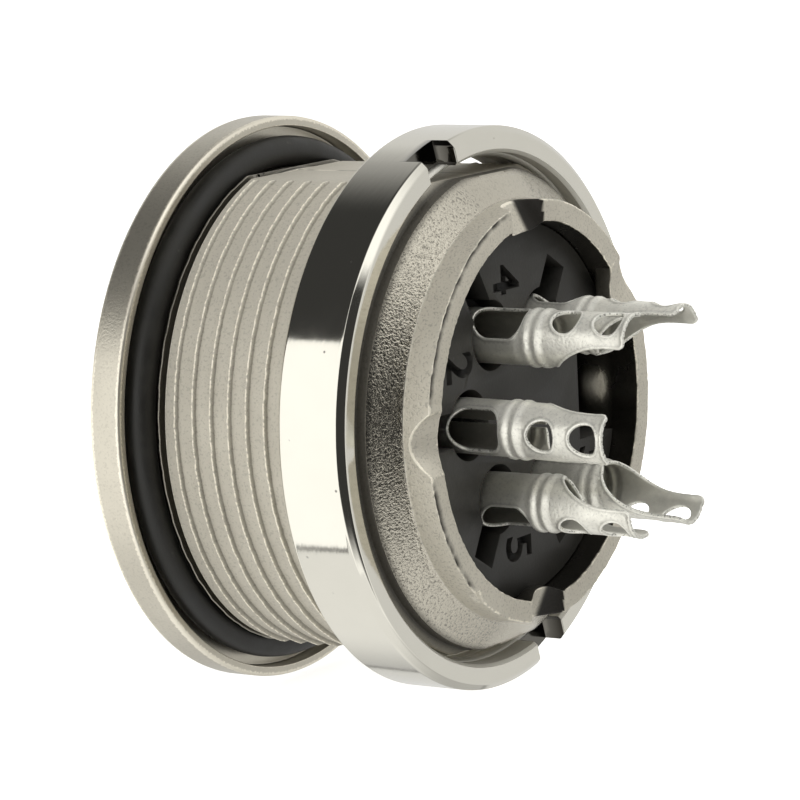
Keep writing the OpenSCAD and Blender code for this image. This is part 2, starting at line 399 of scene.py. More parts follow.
class Effects:
    """Shader node groups that several finishes use, each built once."""

    FINE_RATIO = 2.6
    COARSE_SHARE = 0.68
    FINE_SHARE = 0.32
    PIT_LEVELS = (0.47, 0.36)
    PATCH_LEVELS = (0.32, 0.68)
    WEAR_SHARE = 0.55
    WEAR_LEVELS = (0.62, 0.95)
    SPECK_RATIO = 0.31
    SPECK_LEVELS = (0.66, 0.72)
    SPECK_SIZES = (0.24, 0.12)

    def __init__(self) -> None:
        """Builds the groups."""
        self.sand = self._sand()
        self.blotch = self._blotch()
        self.wear = self._wear()
        self.specks = self._specks()

    @staticmethod
    def _group(name: str, outputs: Sequence[str],
               more: Sequence[str] = ()) -> tuple[Net, Any, Node]:
        """Starts a group that reads a place and a scale.

        Args:
            name: Name of the group.
            outputs: Names of the value outputs.
            more: Names of further value inputs.

        Returns:
            The group's net, its given sockets and its output node.
        """
        tree = bpy.data.node_groups.new(name, "ShaderNodeTree")
        face = tree.interface
        face.new_socket(name="Vector", in_out="INPUT", socket_type=Socket.VECTOR.value)
        for label in ("Scale", *more):
            face.new_socket(name=label, in_out="INPUT", socket_type=Socket.FLOAT.value)
        for label in outputs:
            face.new_socket(name=label, in_out="OUTPUT", socket_type=Socket.FLOAT.value)
        net = Net(tree)
        return net, net.add("NodeGroupInput").outputs, net.add("NodeGroupOutput")

    def _sand(self) -> NodeTree:
        """Builds the sandy casting skin.

        Returns:
            Group that puts out a height and a mask of the pits.
        """
        net, given, put = self._group("sand skin", ("Height", "Pits"))
        coarse = net.noise(given["Vector"], given["Scale"], 1.0)
        fine = net.noise(given["Vector"], net.math("MULTIPLY", given["Scale"], self.FINE_RATIO), 1.0)
        coarse = net.math("MULTIPLY", coarse, self.COARSE_SHARE)
        height = net.math("ADD", coarse, net.math("MULTIPLY", fine, self.FINE_SHARE))
        net.feed(put, "Height", height)
        net.feed(put, "Pits", net.step(height, *self.PIT_LEVELS))
        return net.tree

    def _blotch(self) -> NodeTree:
        """Builds the broad uneven patches.

        Returns:
            Group that puts out a value between 0 and 1.
        """
        net, given, put = self._group("blotch", ("Value",))
        broad = net.noise(given["Vector"], given["Scale"], 4.0, 0.6)
        net.feed(put, "Value", net.step(broad, *self.PATCH_LEVELS))
        return net.tree

    def _wear(self) -> NodeTree:
        """Builds the broken rubbing along marked edges.

        Returns:
            Group that puts out a mask.
        """
        net, given, put = self._group("edge wear", ("Mask",), ("Edge",))
        broken = net.noise(given["Vector"], given["Scale"], 3.0, 0.6)
        level = net.math("ADD", net.math("MULTIPLY", given["Edge"], self.WEAR_SHARE), broken)
        net.feed(put, "Mask", net.step(level, *self.WEAR_LEVELS))
        return net.tree

    def _specks(self) -> NodeTree:
        """Builds the scattered small dots.

        Returns:
            Group that puts out a mask.
        """
        net, given, put = self._group("specks", ("Mask",))
        cells = net.add("ShaderNodeTexVoronoi", {"Vector": given["Vector"], "Scale": given["Scale"]})
        broad = net.noise(given["Vector"], net.math("MULTIPLY", given["Scale"], self.SPECK_RATIO))
        dot = net.step(cells.outputs["Distance"], *self.SPECK_SIZES)
        net.feed(put, "Mask", net.math("MULTIPLY", dot, net.step(broad, *self.SPECK_LEVELS)))
        return net.tree


@dataclass(frozen=True)
class Tint:
    """How strongly a mask shows, and how dark or light it makes a finish's base colour."""

    share: float
    shade: float


@dataclass(frozen=True)
class Finish:
    """A surface finish with its name, base colour, and depth of relief in metres."""

    name: str
    colour: tuple[float, float, float]
    relief: float = 0.0

    @property
    def rgba(self) -> Rgba:
        """Base colour with full opacity."""
        return (*self.colour, 1.0)

    def shade(self, share: float) -> Rgba:
        """Base colour made darker or lighter by a share."""
        return (*(min(1.0, c * share) for c in self.colour), 1.0)

    def tint(self, net: Net, base: Any, mask: Any, tint: Tint) -> NodeSocket:
        """A colour, changed where a mask shows."""
        return net.mix(net.math("MULTIPLY", mask, tint.share), base, self.shade(tint.shade))

    @staticmethod
    def effect(net: Net, group: NodeTree, place: Any, scale: float, **more: Any) -> Any:
        """Outputs of a shared effect, placed in the material."""
        feeds = {"Vector": place, "Scale": scale, **more}
        return net.add("ShaderNodeGroup", feeds, node_tree=group).outputs

    def start(self) -> tuple[Material, Net, NodeSocket]:
        """Makes an empty material.

        Returns:
            The material, its net, and the piece's own coordinates.
        """
        material = bpy.data.materials.new(self.name)
        material.use_nodes = True
        material.diffuse_color = self.rgba
        material.node_tree.nodes.clear()
        net = Net(material.node_tree)
        return material, net, net.add("ShaderNodeTexCoord").outputs["Object"]

    def coat(self, net: Net, place: NodeSocket, effects: Effects) -> tuple[dict[str, Any], Any]:
        """Works out what the shader reads, which each finish does in its own way.

        Args:
            net: The material's net.
            place: The piece's own coordinates.
            effects: Shared effects.

        Returns:
            Inputs of the shader, and the height of the relief.
        """
        raise NotImplementedError

    def material(self, effects: Effects) -> Material:
        """Makes the material.

        Args:
            effects: Shared effects.

        Returns:
            The material, ending in its shader.
        """
        material, net, place = self.start()
        feeds, height = self.coat(net, place, effects)
        bump = net.add("ShaderNodeBump", {"Height": height, "Distance": self.relief, "Strength": 1.0})
        shader = net.add("ShaderNodeBsdfPrincipled", {**feeds, "Normal": bump.outputs["Normal"]})
        net.add("ShaderNodeOutputMaterial", {"Surface": shader.outputs[0]})
        return material


@dataclass(frozen=True)
class CastNickel(Finish):
    """Satin nickel plating on a die casting, rougher where the casting is sandy."""

    relief: float = 0.000042
    grain_scale: float = 11000.0
    patch_scale: float = 420.0
    wear_scale: float = 9000.0
    patch_tint: Tint = Tint(0.35, 0.86)
    pit_tint: Tint = Tint(0.9, 0.45)
    wear_tint: Tint = Tint(0.85, 1.6)
    soil: Rgba = (0.018, 0.016, 0.013, 1.0)
    smooth_gloss: float = 0.20
    sandy_gloss: float = 0.17
    patch_gloss: float = 0.06
    matt_gloss: float = 0.38
    matt_metal: float = 0.42

    def coat(self, net: Net, place: NodeSocket, effects: Effects) -> tuple[dict[str, Any], Any]:
        """Works out the plating.

        Args:
            net: The material's net.
            place: The piece's own coordinates.
            effects: Shared effects.

        Returns:
            Inputs of the shader, and the height of the relief.
        """
        grain = net.mark(Mark.GRAIN)
        matt = net.mark(Mark.MATT)
        sand = self.effect(net, effects.sand, place, self.grain_scale)
        patches = self.effect(net, effects.blotch, place, self.patch_scale)["Value"]
        rubbed = self.effect(net, effects.wear, place, self.wear_scale, Edge=net.mark(Mark.EDGE))["Mask"]
        colour = self.tint(net, self.rgba, patches, self.patch_tint)
        colour = self.tint(net, colour, net.math("MULTIPLY", sand["Pits"], grain), self.pit_tint)
        colour = self.tint(net, colour, rubbed, self.wear_tint)
        # Darkens to the soil colour: real soil, seams and cracks, and painted shade in gaps, the bore, stake
        # flanks and under the thread's ridges.
        colour = net.mix(net.mark(Mark.SOIL_AND_SHADE), colour, self.soil)
        gloss = net.step(grain, 0.0, 1.0, self.smooth_gloss, self.sandy_gloss)
        gloss = net.math("ADD", gloss, net.math("MULTIPLY", patches, self.patch_gloss))
        gloss = net.math("ADD", gloss, net.math("MULTIPLY", matt, self.matt_gloss))
        plated = net.step(matt, 0.0, 1.0, 1.0, self.matt_metal)
        height = net.math("MULTIPLY", sand["Height"], grain)
        return {"Base Color": colour, "Metallic": plated, "Roughness": gloss}, height


@dataclass(frozen=True)
class BrightNickel(Finish):
    """Bright nickel plating on a turned ring, with turning lines, a wavy skin and dust."""

    relief: float = 0.000002
    patch_scale: float = 520.0
    speck_scale: float = 3600.0
    line_scale: float = 26000.0
    skin_scale: float = 1500.0
    skin_stretch: tuple[float, float, float] = (5.0, 1.0, 1.0)
    line_share: float = 0.10
    skin_share: float = 0.9
    patch_tint: Tint = Tint(0.25, 0.94)
    speck_tint: Tint = Tint(0.8, 0.25)
    soil: Rgba = (0.03, 0.027, 0.022, 1.0)
    gloss: float = 0.07
    patch_gloss: float = 0.05
    speck_gloss: float = 0.35
    matt_gloss: float = 0.45
    matt_metal: float = 0.3

    def coat(self, net: Net, place: NodeSocket, effects: Effects) -> tuple[dict[str, Any], Any]:
        """Works out the mirror plating.

        Args:
            net: The material's net.
            place: The piece's own coordinates.
            effects: Shared effects.

        Returns:
            Inputs of the shader, and the height of the relief.
        """
        patches = self.effect(net, effects.blotch, place, self.patch_scale)["Value"]
        specks = self.effect(net, effects.specks, place, self.speck_scale)["Mask"]
        along = net.add("ShaderNodeSeparateXYZ", {0: place}).outputs[0]
        lines = net.noise(net.add("ShaderNodeCombineXYZ", {0: along}).outputs[0], self.line_scale)
        stretched = net.add("ShaderNodeVectorMath", {0: place, 1: self.skin_stretch}, operation="MULTIPLY")
        skin = net.noise(stretched.outputs[0], self.skin_scale)
        colour = self.tint(net, self.rgba, patches, self.patch_tint)
        colour = self.tint(net, colour, specks, self.speck_tint)
        # Darkens to the soil colour: painted shade in the spanner slots.
        colour = net.mix(net.mark(Mark.SOIL_AND_SHADE), colour, self.soil)
        matt = net.mark(Mark.MATT)
        gloss = net.math("ADD", net.math("MULTIPLY", patches, self.patch_gloss),
                         net.math("MULTIPLY", specks, self.speck_gloss))
        gloss = net.math("ADD", gloss, net.step(matt, 0.0, 1.0, self.gloss, self.matt_gloss))
        plated = net.step(matt, 0.0, 1.0, 1.0, self.matt_metal)
        height = net.math("ADD", net.math("MULTIPLY", lines, self.line_share),
                          net.math("MULTIPLY", skin, self.skin_share))
        return {"Base Color": colour, "Metallic": plated, "Roughness": gloss}, height


@dataclass(frozen=True)
class TinSheet(Finish):
    """Satin tin plating on rolled and punched sheet, darker and rougher along the cut edges."""

    relief: float = 0.000017
    grain_scale: float = 9500.0
    patch_scale: float = 1700.0
    wear_scale: float = 9000.0
    tear_scale: float = 12000.0
    tear_levels: Span = (0.53, 0.64)
    cut_levels: Span = (0.8, 1.0)
    patch_tint: Tint = Tint(0.6, 0.74)
    pit_tint: Tint = Tint(0.3, 0.45)
    wear_tint: Tint = Tint(0.3, 1.1)
    tear_tint: Tint = Tint(0.8, 0.3)
    soil: Rgba = (0.05, 0.044, 0.035, 1.0)
    patch_gloss: float = 0.1
    smooth_gloss: float = 0.24
    frosted_gloss: float = 0.32
    cut_gloss: float = 0.15
    frosted_metal: float = 0.60

    def coat(self, net: Net, place: NodeSocket, effects: Effects) -> tuple[dict[str, Any], Any]:
        """Works out the plating.

        Args:
            net: The material's net.
            place: The piece's own coordinates.
            effects: Shared effects.

        Returns:
            Inputs of the shader, and the height of the relief.
        """
        cut = net.mark(Mark.EDGE)
        grain = net.mark(Mark.GRAIN)
        frosted = net.mark(Mark.MATT)
        sand = self.effect(net, effects.sand, place, self.grain_scale)
        patches = self.effect(net, effects.blotch, place, self.patch_scale)["Value"]
        rubbed = self.effect(net, effects.wear, place, self.wear_scale, Edge=cut)["Mask"]
        torn = net.step(net.noise(place, self.tear_scale), *self.tear_levels)
        torn = net.math("MULTIPLY", net.step(cut, *self.cut_levels), torn)
        colour = self.tint(net, self.rgba, patches, self.patch_tint)
        colour = self.tint(net, colour, net.math("MULTIPLY", sand["Pits"], grain), self.pit_tint)
        colour = self.tint(net, colour, rubbed, self.wear_tint)
        colour = self.tint(net, colour, torn, self.tear_tint)
        # Darkens to the soil colour: painted shade inside the tube and beside the raised rims.
        colour = net.mix(net.mark(Mark.SOIL_AND_SHADE), colour, self.soil)
        gloss = net.math("ADD", net.math("MULTIPLY", patches, self.patch_gloss),
                         net.step(frosted, 0.0, 1.0, self.smooth_gloss, self.frosted_gloss))
        gloss = net.math("ADD", gloss, net.math("MULTIPLY", cut, self.cut_gloss))
        plated = net.step(frosted, 0.0, 1.0, 1.0, self.frosted_metal)
        height = net.math("MULTIPLY", sand["Height"], grain)
        return {"Base Color": colour, "Metallic": plated, "Roughness": gloss}, height


@dataclass(frozen=True)
class MouldedPlastic(Finish):
    """Dark satin moulded plastic with a fine skin, uneven patches and a little dust."""

    relief: float = 0.000008
    grain_scale: float = 9000.0
    patch_scale: float = 700.0
    dust_scale: float = 4200.0
    patch_tint: Tint = Tint(0.6, 1.35)
    dust_tint: Tint = Tint(0.35, 3.0)
    recess_shade_tint: Tint | None = Tint(0.85, 0.12)
    gloss: float = 0.42
    patch_gloss: float = 0.12
    sheen: float = 0.3

    def coat(self, net: Net, place: NodeSocket, effects: Effects) -> tuple[dict[str, Any], Any]:
        """Works out the moulded skin.

        Args:
            net: The material's net.
            place: The piece's own coordinates.
            effects: Shared effects.

        Returns:
            Inputs of the shader, and the height of the relief.
        """
        height = self.effect(net, effects.sand, place, self.grain_scale)["Height"]
        patches = self.effect(net, effects.blotch, place, self.patch_scale)["Value"]
        dust = self.effect(net, effects.specks, place, self.dust_scale)["Mask"]
        colour = self.tint(net, self.rgba, patches, self.patch_tint)
        colour = self.tint(net, colour, dust, self.dust_tint)
        # Painted shade deeper in the moulding, where the piece marks it.
        if self.recess_shade_tint:
            colour = self.tint(net, colour, net.mark(Mark.SOIL_AND_SHADE), self.recess_shade_tint)
        gloss = net.math("ADD", net.math("MULTIPLY", patches, self.patch_gloss), self.gloss)
        return {"Base Color": colour, "Roughness": gloss, "Specular IOR Level": self.sheen}, height


@dataclass(frozen=True)
class SealRubber(MouldedPlastic):
    """Matt black rubber with a soft grey bloom and dust."""

    relief: float = 0.000006
    grain_scale: float = 12000.0
    patch_scale: float = 900.0
    dust_scale: float = 3000.0
    patch_tint: Tint = Tint(1.0, 1.7)
    dust_tint: Tint = Tint(0.3, 9.0)
    recess_shade_tint: Tint | None = None
    gloss: float = 0.46
    sheen: float = 0.5


@dataclass(frozen=True)
class Corner:
    """A corner of a turned section and the surface that follows it."""

    x: float
    r: float
    rounding: float
    zone: Zone
    step: float = 100.0


@dataclass
class Outline:
    """Closed section of a turned piece, as rows of points."""

    x: np.ndarray
    r: np.ndarray
    zones: list[Zone]
    edge: np.ndarray

    ARC = (0.0, 0.3, 0.7, 1.0)
    ARC_END_EDGE = 0.4
    SUPPORT = 0.03
    MOST_REACH = 0.42

    @classmethod
    def trace(cls, corners: Sequence[Corner]) -> "Outline":
        """Rounds the corners and adds the rows that keep flat faces flat.

        Args:
            corners: Corners of the section in order round it.

        Returns:
            The closed section.
        """
        places = [np.array((c.x, c.r)) for c in corners]
        ends = cls._ends(corners, places)
        rows: list[tuple[float, float, Zone, float]] = []
        for i, corner in enumerate(corners):
            start, stop, convex = ends[i]
            if corner.rounding:
                for s in cls.ARC:
                    p = (1 - s) ** 2 * start + 2 * s * (1 - s) * places[i] + s * s * stop
                    zone = corner.zone if s > 0.5 else corners[i - 1].zone
                    rows.append((p[0], p[1], zone, convex * (1.0 if 0.0 < s < 1.0 else cls.ARC_END_EDGE)))
            else:
                rows.append((places[i][0], places[i][1], corner.zone, 0.0))
            rows.extend(cls._between(stop, ends[(i + 1) % len(corners)][0], corner))
        x, r, zones, edge = zip(*rows)
        return cls(np.array(x), np.array(r), list(zones), np.array(edge))

    @classmethod
    def _ends(cls, corners: Sequence[Corner],
              places: list[np.ndarray]) -> list[tuple[np.ndarray, np.ndarray, float]]:
        """Finds where each corner's rounding starts and stops.

        Args:
            corners: Corners of the section in order round it.
            places: Their places.

        Returns:
            Start and stop of each rounding, and 1 where the corner stands out or 0 where it goes in.
        """
        count = len(corners)
        area = 0.0
        for i in range(count):
            area += float(places[i - 1][0] * places[i][1] - places[i][0] * places[i - 1][1])
        ends = []
        for i, corner in enumerate(corners):
            back = places[i - 1] - places[i]
            on = places[(i + 1) % count] - places[i]
            turn = float(back[1] * on[0] - back[0] * on[1])
            back_l = float(np.linalg.norm(back))
            on_l = float(np.linalg.norm(on))
            half = 0.5 * math.acos(float(np.clip(np.dot(back, on) / (back_l * on_l), -1.0, 1.0)))
            reach = 0.0
            if corner.rounding:
                reach = min(corner.rounding / math.tan(half), cls.MOST_REACH * back_l, cls.MOST_REACH * on_l)
            convex = 1.0 if turn * area > 0.0 else 0.0
            ends.append((places[i] + back / back_l * reach, places[i] + on / on_l * reach, convex))
        return ends

    @classmethod
    def _between(cls, a: np.ndarray, b: np.ndarray, corner: Corner) -> list[tuple[float, float, Zone, float]]:
        """Rows on the straight stretch after a corner.

        Args:
            a: Start of the stretch.
            b: End of the stretch.
            corner: Corner before the stretch.

        Returns:
            Rows strictly between the two ends.
        """
        length = float(np.linalg.norm(b - a))
        stations = []
        if length > 5.0 * cls.SUPPORT:
            stations = [cls.SUPPORT, length - cls.SUPPORT]
            inner = length - 2.0 * cls.SUPPORT
            parts = max(1, math.ceil(inner / corner.step))
            stations[1:1] = [cls.SUPPORT + inner * k / parts for k in range(1, parts)]
        return [(*(a + (b - a) * s / length), corner.zone, 0.0) for s in stations]


@dataclass
class Skin:
    """Grid of a turned piece's points, a row for each point of its section, with its marks."""

    x: np.ndarray
    r: np.ndarray
    angle: np.ndarray
    zone: np.ndarray
    grain: np.ndarray
    edge: np.ndarray
    # Darkening by real soil and cracks, and by painted shade.
    soil: np.ndarray
    matt: np.ndarray

    @classmethod
    def spin(cls, outline: Outline, turn: np.ndarray) -> "Skin":
        """Spins a section round the axis.

        Args:
            outline: Section of the piece.
            turn: Angle of each column in radians.

        Returns:
            The grid, with the marks that the surfaces and corners give.
        """
        shape = (len(outline.x), len(turn))
        names = list(Zone)
        numbers = [names.index(z) for z in outline.zones]
        grains, matts = zip(*(ZONE_SKIN[z] for z in outline.zones))
        rows = (outline.x, outline.r, numbers, grains, outline.edge, matts)
        x, r, zone, grain, edge, matt = (
            np.repeat(np.array(row)[:, None], len(turn), axis=1) for row in rows)
        return cls(x, r, np.repeat(turn[None, :], shape[0], axis=0), zone, grain, edge, np.zeros(shape), matt)

    def on(self, *zones: Zone) -> np.ndarray:
        """Mask of the points that lie on any of the zones."""
        return np.isin(self.zone, [list(Zone).index(z) for z in zones])

    def darken(self, level: Any) -> None:
        """Darkens the points with soil or painted shade, at least to a level."""
        np.maximum(self.soil, level, out=self.soil)

    def brighten(self, level: Any) -> None:
        """Marks the points as edges at least to a level."""
        np.maximum(self.edge, level, out=self.edge)

    def dull(self, level: Any) -> None:
        """Makes the points matt at least to a level."""
        np.maximum(self.matt, level, out=self.matt)

    def points(self) -> np.ndarray:
        """Places of the points, in the grid's shape."""
        return polar(self.x, self.r, self.angle)

    def piece(self, name: str, points: np.ndarray, finish: Material) -> Object:
        """Makes the piece.

        Args:
            name: Name of the piece.
            points: Places of the grid's points.
            finish: Material of the piece.

        Returns:
            The new object.
        """
        marks = {Mark.GRAIN: self.grain.ravel(), Mark.EDGE: self.edge.ravel(),
                 Mark.SOIL_AND_SHADE: self.soil.ravel(), Mark.MATT: self.matt.ravel()}
        return make_piece(name, points.reshape(-1, 3), ring_faces(*self.x.shape), finish, marks)


@dataclass(frozen=True)
class Stake:
    """One punch mark that pushes the collar in over the insert."""

    angle: float
    inner_depth: float
    outer_depth: float
    reach: float
    square: float
    shaded_side: float = 0.0
    soft: float = 1.0


@dataclass
class Shell:
    """Die-cast body: flange, neck, barrel with two flats, cone and staked collar."""

    mating_x: float = -1.3
    flange_r: float = 10.253
    flange_round: float = 0.2
    groove_r: float = 9.885
    groove_depth: float = 0.62
    neck_r: float = 8.4
    bead_x: float = 0.64
    bead_end_x: float = 0.72
    bead_r: float = 8.9
    bead_wear: float = 0.05
    bead_waves: float = 14.0
    bead_shade: float = 0.62
    neck_shade: float = 0.75
    neck_shade_x: float = 0.3
    land_x: float = 0.93
    land_r: float = 8.84
    land_end_x: float = 8.5
    barrel_soil: float = 0.14
    root_r: float = 8.54
    flat_r: float = 8.35
    flat_bead: float = 0.08
    flat_grain: float = 0.22
    shoulder_x: float = 9.052
    gap_shade: float = 0.85
    cone_shade: float = 0.6
    cone_shade_ls: Span = (0.16, 0.02)
    cone_smooth: float = 0.75
    cone_smooth_at: Span = (0.965, 0.985)
    collar_x: float = 9.852
    collar_land: float = 0.05
    collar_r: float = 7.45
    rear_x: float = 10.932
    bore_r: float = 6.67
    wall_shades: Span = (0.72, 0.5)
    wall_shade_x: float = 9.75
    low_shade: float = 0.15
    low_shade_zs: Span = (-0.3, -1.0)
    insert_x: float = 9.972
    seat_x: float = 7.25
    web_hole_r: float = 6.0
    socket_end_x: float = 6.45
    socket_wall_r: float = 7.92
    mouth: float = 0.3
    stakes: tuple[Stake, ...] = (
        Stake(0.0, 0.22, 0.85, 0.10, 2.0), Stake(86.0, 0.30, 0.80, 0.30, 4.0, 1.0),
        Stake(148.0, 0.12, 0.25, 0.55, 2.0, 0.0, 1.7), Stake(-88.0, 0.30, 0.80, 0.38, 2.4, -1.0, 1.2))
    stake_r: float = 1.08
    stake_matt: float = 0.6
    stake_edge: float = 0.5
    stake_edge_w: float = 0.06
    stake_flank: Span = (0.1, 0.4)
    stake_lip: float = 0.3
    stake_spread: float = 1.25
    crack_spans: tuple[Span, ...] = ((9.0, 78.0), (-48.0, -9.0))
    crack_fade: float = 4.0
    crack_r: float = 7.35
    crack_waves: float = 9.0
    crack_wander: float = 0.03
    crack_w: float = 0.085
    crack_depth: float = 0.1
    crack_gaps: Tatter = Tatter(210, 4, 0.75, 0.7)
    torn_xs: Span = (10.55, 10.85)
    torn_r: float = 0.016
    torn_rim: Tatter = Tatter(420, 3)
    torn_depth: float = 0.03
    torn_end: Tatter = Tatter(290, 5, 0.5, 0.5)
    torn_edge: Tatter = Tatter(240, 9, 0.5, 0.6)
    notch_angle: float = -50.0
    notch_half_ws: Span = (0.26, 0.18)
    notch_xs: Span = (10.6, 10.68)
    notch_rs: Span = (7.1, 7.3)
    notch_depth: float = 0.16
    lug_z: float = -0.2
    lug_half_w: float = 0.65
    lug_rise: Span = (8.35, 8.75)
    lug_fall: Span = (9.65, 9.1)
    lug_height: float = 0.3
    lug_highlight: float = 0.9
    lug_matt: float = 0.8
    seam_half: float = 0.006
    seam_bright: float = 0.35
    seam_columns: tuple[float, ...] = (89.2, 90.0, 90.8)
    base_columns: int = 300
    stake_columns: int = 52
    column_gap: float = 0.15

    def outline(self) -> Outline:
        """Traces the section, from the mating face round the outside and back through the inside.

        Returns:
            The section.
        """
        return Outline.trace([
            Corner(self.mating_x, self.socket_wall_r + self.mouth, 0.05, Zone.FRONT),
            Corner(self.mating_x, self.flange_r, self.flange_round, Zone.RIM),
            Corner(0.0, self.flange_r, self.flange_round, Zone.LIP),
            Corner(0.0, self.groove_r, 0.04, Zone.GROOVE),
            Corner(-self.groove_depth, self.groove_r, 0.05, Zone.GROOVE),
            Corner(-self.groove_depth, self.neck_r, 0.08, Zone.NECK),
            Corner(self.bead_x, self.neck_r, 0.03, Zone.BEAD),
            Corner(self.bead_x, self.bead_r, 0.03, Zone.BEAD),
            Corner(self.bead_end_x, self.bead_r, 0.03, Zone.BEAD),
            Corner(self.bead_end_x, self.neck_r, 0.03, Zone.NECK),
            Corner(self.land_x, self.neck_r, 0.03, Zone.BARREL),
            Corner(self.land_x, self.land_r, 0.04, Zone.BARREL, 0.27),
            Corner(self.land_end_x, self.land_r, 0.05, Zone.BARREL),
            Corner(self.land_end_x + 0.2, self.root_r, 0.05, Zone.BARREL),
            Corner(self.shoulder_x, self.root_r, 0.08, Zone.CONE, 0.12),
            Corner(self.collar_x, self.collar_r, 0.12, Zone.COLLAR, 0.08),
            Corner(self.rear_x, self.collar_r, 0.07, Zone.REAR, 0.05),
            Corner(self.rear_x, self.bore_r, 0.05, Zone.BORE, 0.06),
            Corner(self.insert_x - 0.1, self.bore_r, 0.0, Zone.BORE, 0.22),
            Corner(self.seat_x, self.bore_r, 0.03, Zone.BORE),
            Corner(self.seat_x, self.web_hole_r, 0.05, Zone.BORE),
            Corner(self.socket_end_x, self.web_hole_r, 0.05, Zone.SOCKET),
            Corner(self.socket_end_x, self.socket_wall_r, 0.1, Zone.SOCKET),
            Corner(self.mating_x + self.mouth, self.socket_wall_r, 0.04, Zone.FRONT)])

    def columns(self) -> np.ndarray:
        """Spaces the columns, closer together at the stakes and on the edges of the flats.

        Returns:
            Angles of the columns in radians, in order.
        """
        close = math.degrees(self.stake_spread * self.stake_r / self.bore_r)
        plain = np.arange(self.base_columns) * 360.0 / self.base_columns
        keep = np.ones(len(plain), bool)
        extra = []
        for stake in self.stakes:
            keep &= np.abs(angle_from(plain, stake.angle, 360.0)) > close
            extra.extend(stake.angle + np.linspace(-close, close, self.stake_columns))
        edge = math.degrees(math.asin(self.flat_r / self.land_r))
        upper = np.array([edge, 180.0 - edge, *self.seam_columns])
        fixed = np.concatenate([upper, -upper]) % 360.0
        angles = np.concatenate([plain[keep], np.array(extra) % 360.0])
        near = np.min(np.abs(angle_from(angles[:, None], fixed[None, :], 360.0)), axis=1)
        return np.radians(np.sort(np.concatenate([angles[near > self.column_gap], fixed])))

    def build(self, finish: Material) -> Object:
        """Makes the shell.

        Args:
            finish: Cast nickel.

        Returns:
            The finished piece.
        """
        skin = Skin.spin(self.outline(), self.columns())
        self._stake(skin)
        self._crack(skin)
        self._tear(skin)
        self._shade_bore(skin)
        self._shade_outside(skin)
        self._draw_seams(skin)
        points = skin.points()
        self._flatten(points, skin)
        return skin.piece("shell_casting", points, finish)

    def _stake(self, skin: Skin) -> None:
        """Presses the stakes into the collar's end, pushes their lugs in over the insert, and paints shade on
        one flank of some dents.

        Args:
            skin: Grid of the shell, changed in place.
        """
        rear = skin.on(Zone.REAR)
        outer = skin.on(Zone.COLLAR)
        bore = skin.on(Zone.BORE) & (skin.x > self.insert_x - 0.001)
        low = np.where(outer, self.collar_x + self.collar_land, self.insert_x)
        share = np.where(rear, 1.0, np.clip((skin.x - low) / (self.rear_x - low), 0.0, 1.0))
        share = share * (rear | outer | bore)
        out = np.clip((skin.r - self.bore_r) / (self.collar_r - self.bore_r), 0.0, 1.0)
        lip = ease(self.insert_x, self.insert_x + self.stake_lip, skin.x)
        lug = np.where(bore, lip, 1.0 - out) * (rear | bore)
        for stake in self.stakes:
            turn = angle_from(skin.angle, math.radians(stake.angle))
            facing = np.cos(turn) > 0.0
            side = np.abs(skin.r * np.sin(turn)) / self.stake_r
            dent = np.clip(1.0 - side ** stake.square, 0.0, 1.0) ** stake.soft * facing
            skin.x -= (stake.inner_depth + (stake.outer_depth - stake.inner_depth) * out) * dent * share
            skin.r -= stake.reach * dent * lug
            line = np.exp(-((side - 1.0) / self.stake_edge_w) ** 2)
            skin.brighten(self.stake_edge * line * rear * facing)
            skin.dull(self.stake_matt * (dent > 0.0) * share)
            # Painted shade on one flank of the dent; the sign picks the flank and the size the darkness.
            flank = np.sign(stake.shaded_side) * skin.r * np.sin(turn) / self.stake_r
            skin.darken(abs(stake.shaded_side) * ease(*self.stake_flank, flank) * (dent > 0.0) * share)

    def _crack(self, skin: Skin) -> None:
        """Cuts the cracked line into the collar's end, between the stakes.

        Args:
            skin: Grid of the shell, changed in place.
        """
        turn = angle_from(skin.angle, 0.0)
        rear = skin.on(Zone.REAR)
        for low, high in self.crack_spans:
            span = ease(math.radians(low), math.radians(low + self.crack_fade), turn)
            span = span * ease(math.radians(high), math.radians(high - self.crack_fade), turn)
            line_r = self.crack_r + self.crack_wander * ripple(turn * self.crack_waves, seed=0.7)
            crack = span * rear * np.exp(-((skin.r - line_r) / self.crack_w) ** 2)
            crack = crack * np.clip(self.crack_gaps.at(skin.angle), 0.0, 1.0)
            skin.x -= self.crack_depth * crack
            skin.edge *= 1.0 - crack
            skin.darken(crack)

    def _tear(self, skin: Skin) -> None:
        """Makes the collar's end and the bead uneven, and cuts the small notch in the collar's rim.

        Args:
            skin: Grid of the shell, changed in place.
        """
        end = skin.on(Zone.COLLAR, Zone.REAR, Zone.BORE) * ease(*self.torn_xs, skin.x)
        skin.r += self.torn_r * end * self.torn_rim.at(skin.angle)
        skin.x -= self.torn_depth * end * self.torn_end.at(skin.angle)
        skin.edge *= np.where(end > 0.0, np.clip(self.torn_edge.at(skin.angle), 0.0, 1.0), 1.0)
        away = np.abs(angle_from(skin.angle, math.radians(self.notch_angle))) * self.collar_r
        notch = ease(*self.notch_half_ws, away)
        notch = notch * skin.on(Zone.COLLAR, Zone.REAR) * ease(*self.notch_xs, skin.x)
        skin.r -= self.notch_depth * notch * ease(*self.notch_rs, skin.r)
        bead = skin.on(Zone.BEAD)
        uneven = 0.5 + 0.5 * ripple(angle_from(skin.angle, 0.0) * self.bead_waves, seed=1.3)
        skin.r -= self.bead_wear * bead * (skin.r > self.neck_r + 0.1) * uneven
        # Painted shade on the bead in the narrow gap behind the seal.
        skin.darken(self.bead_shade * bead)

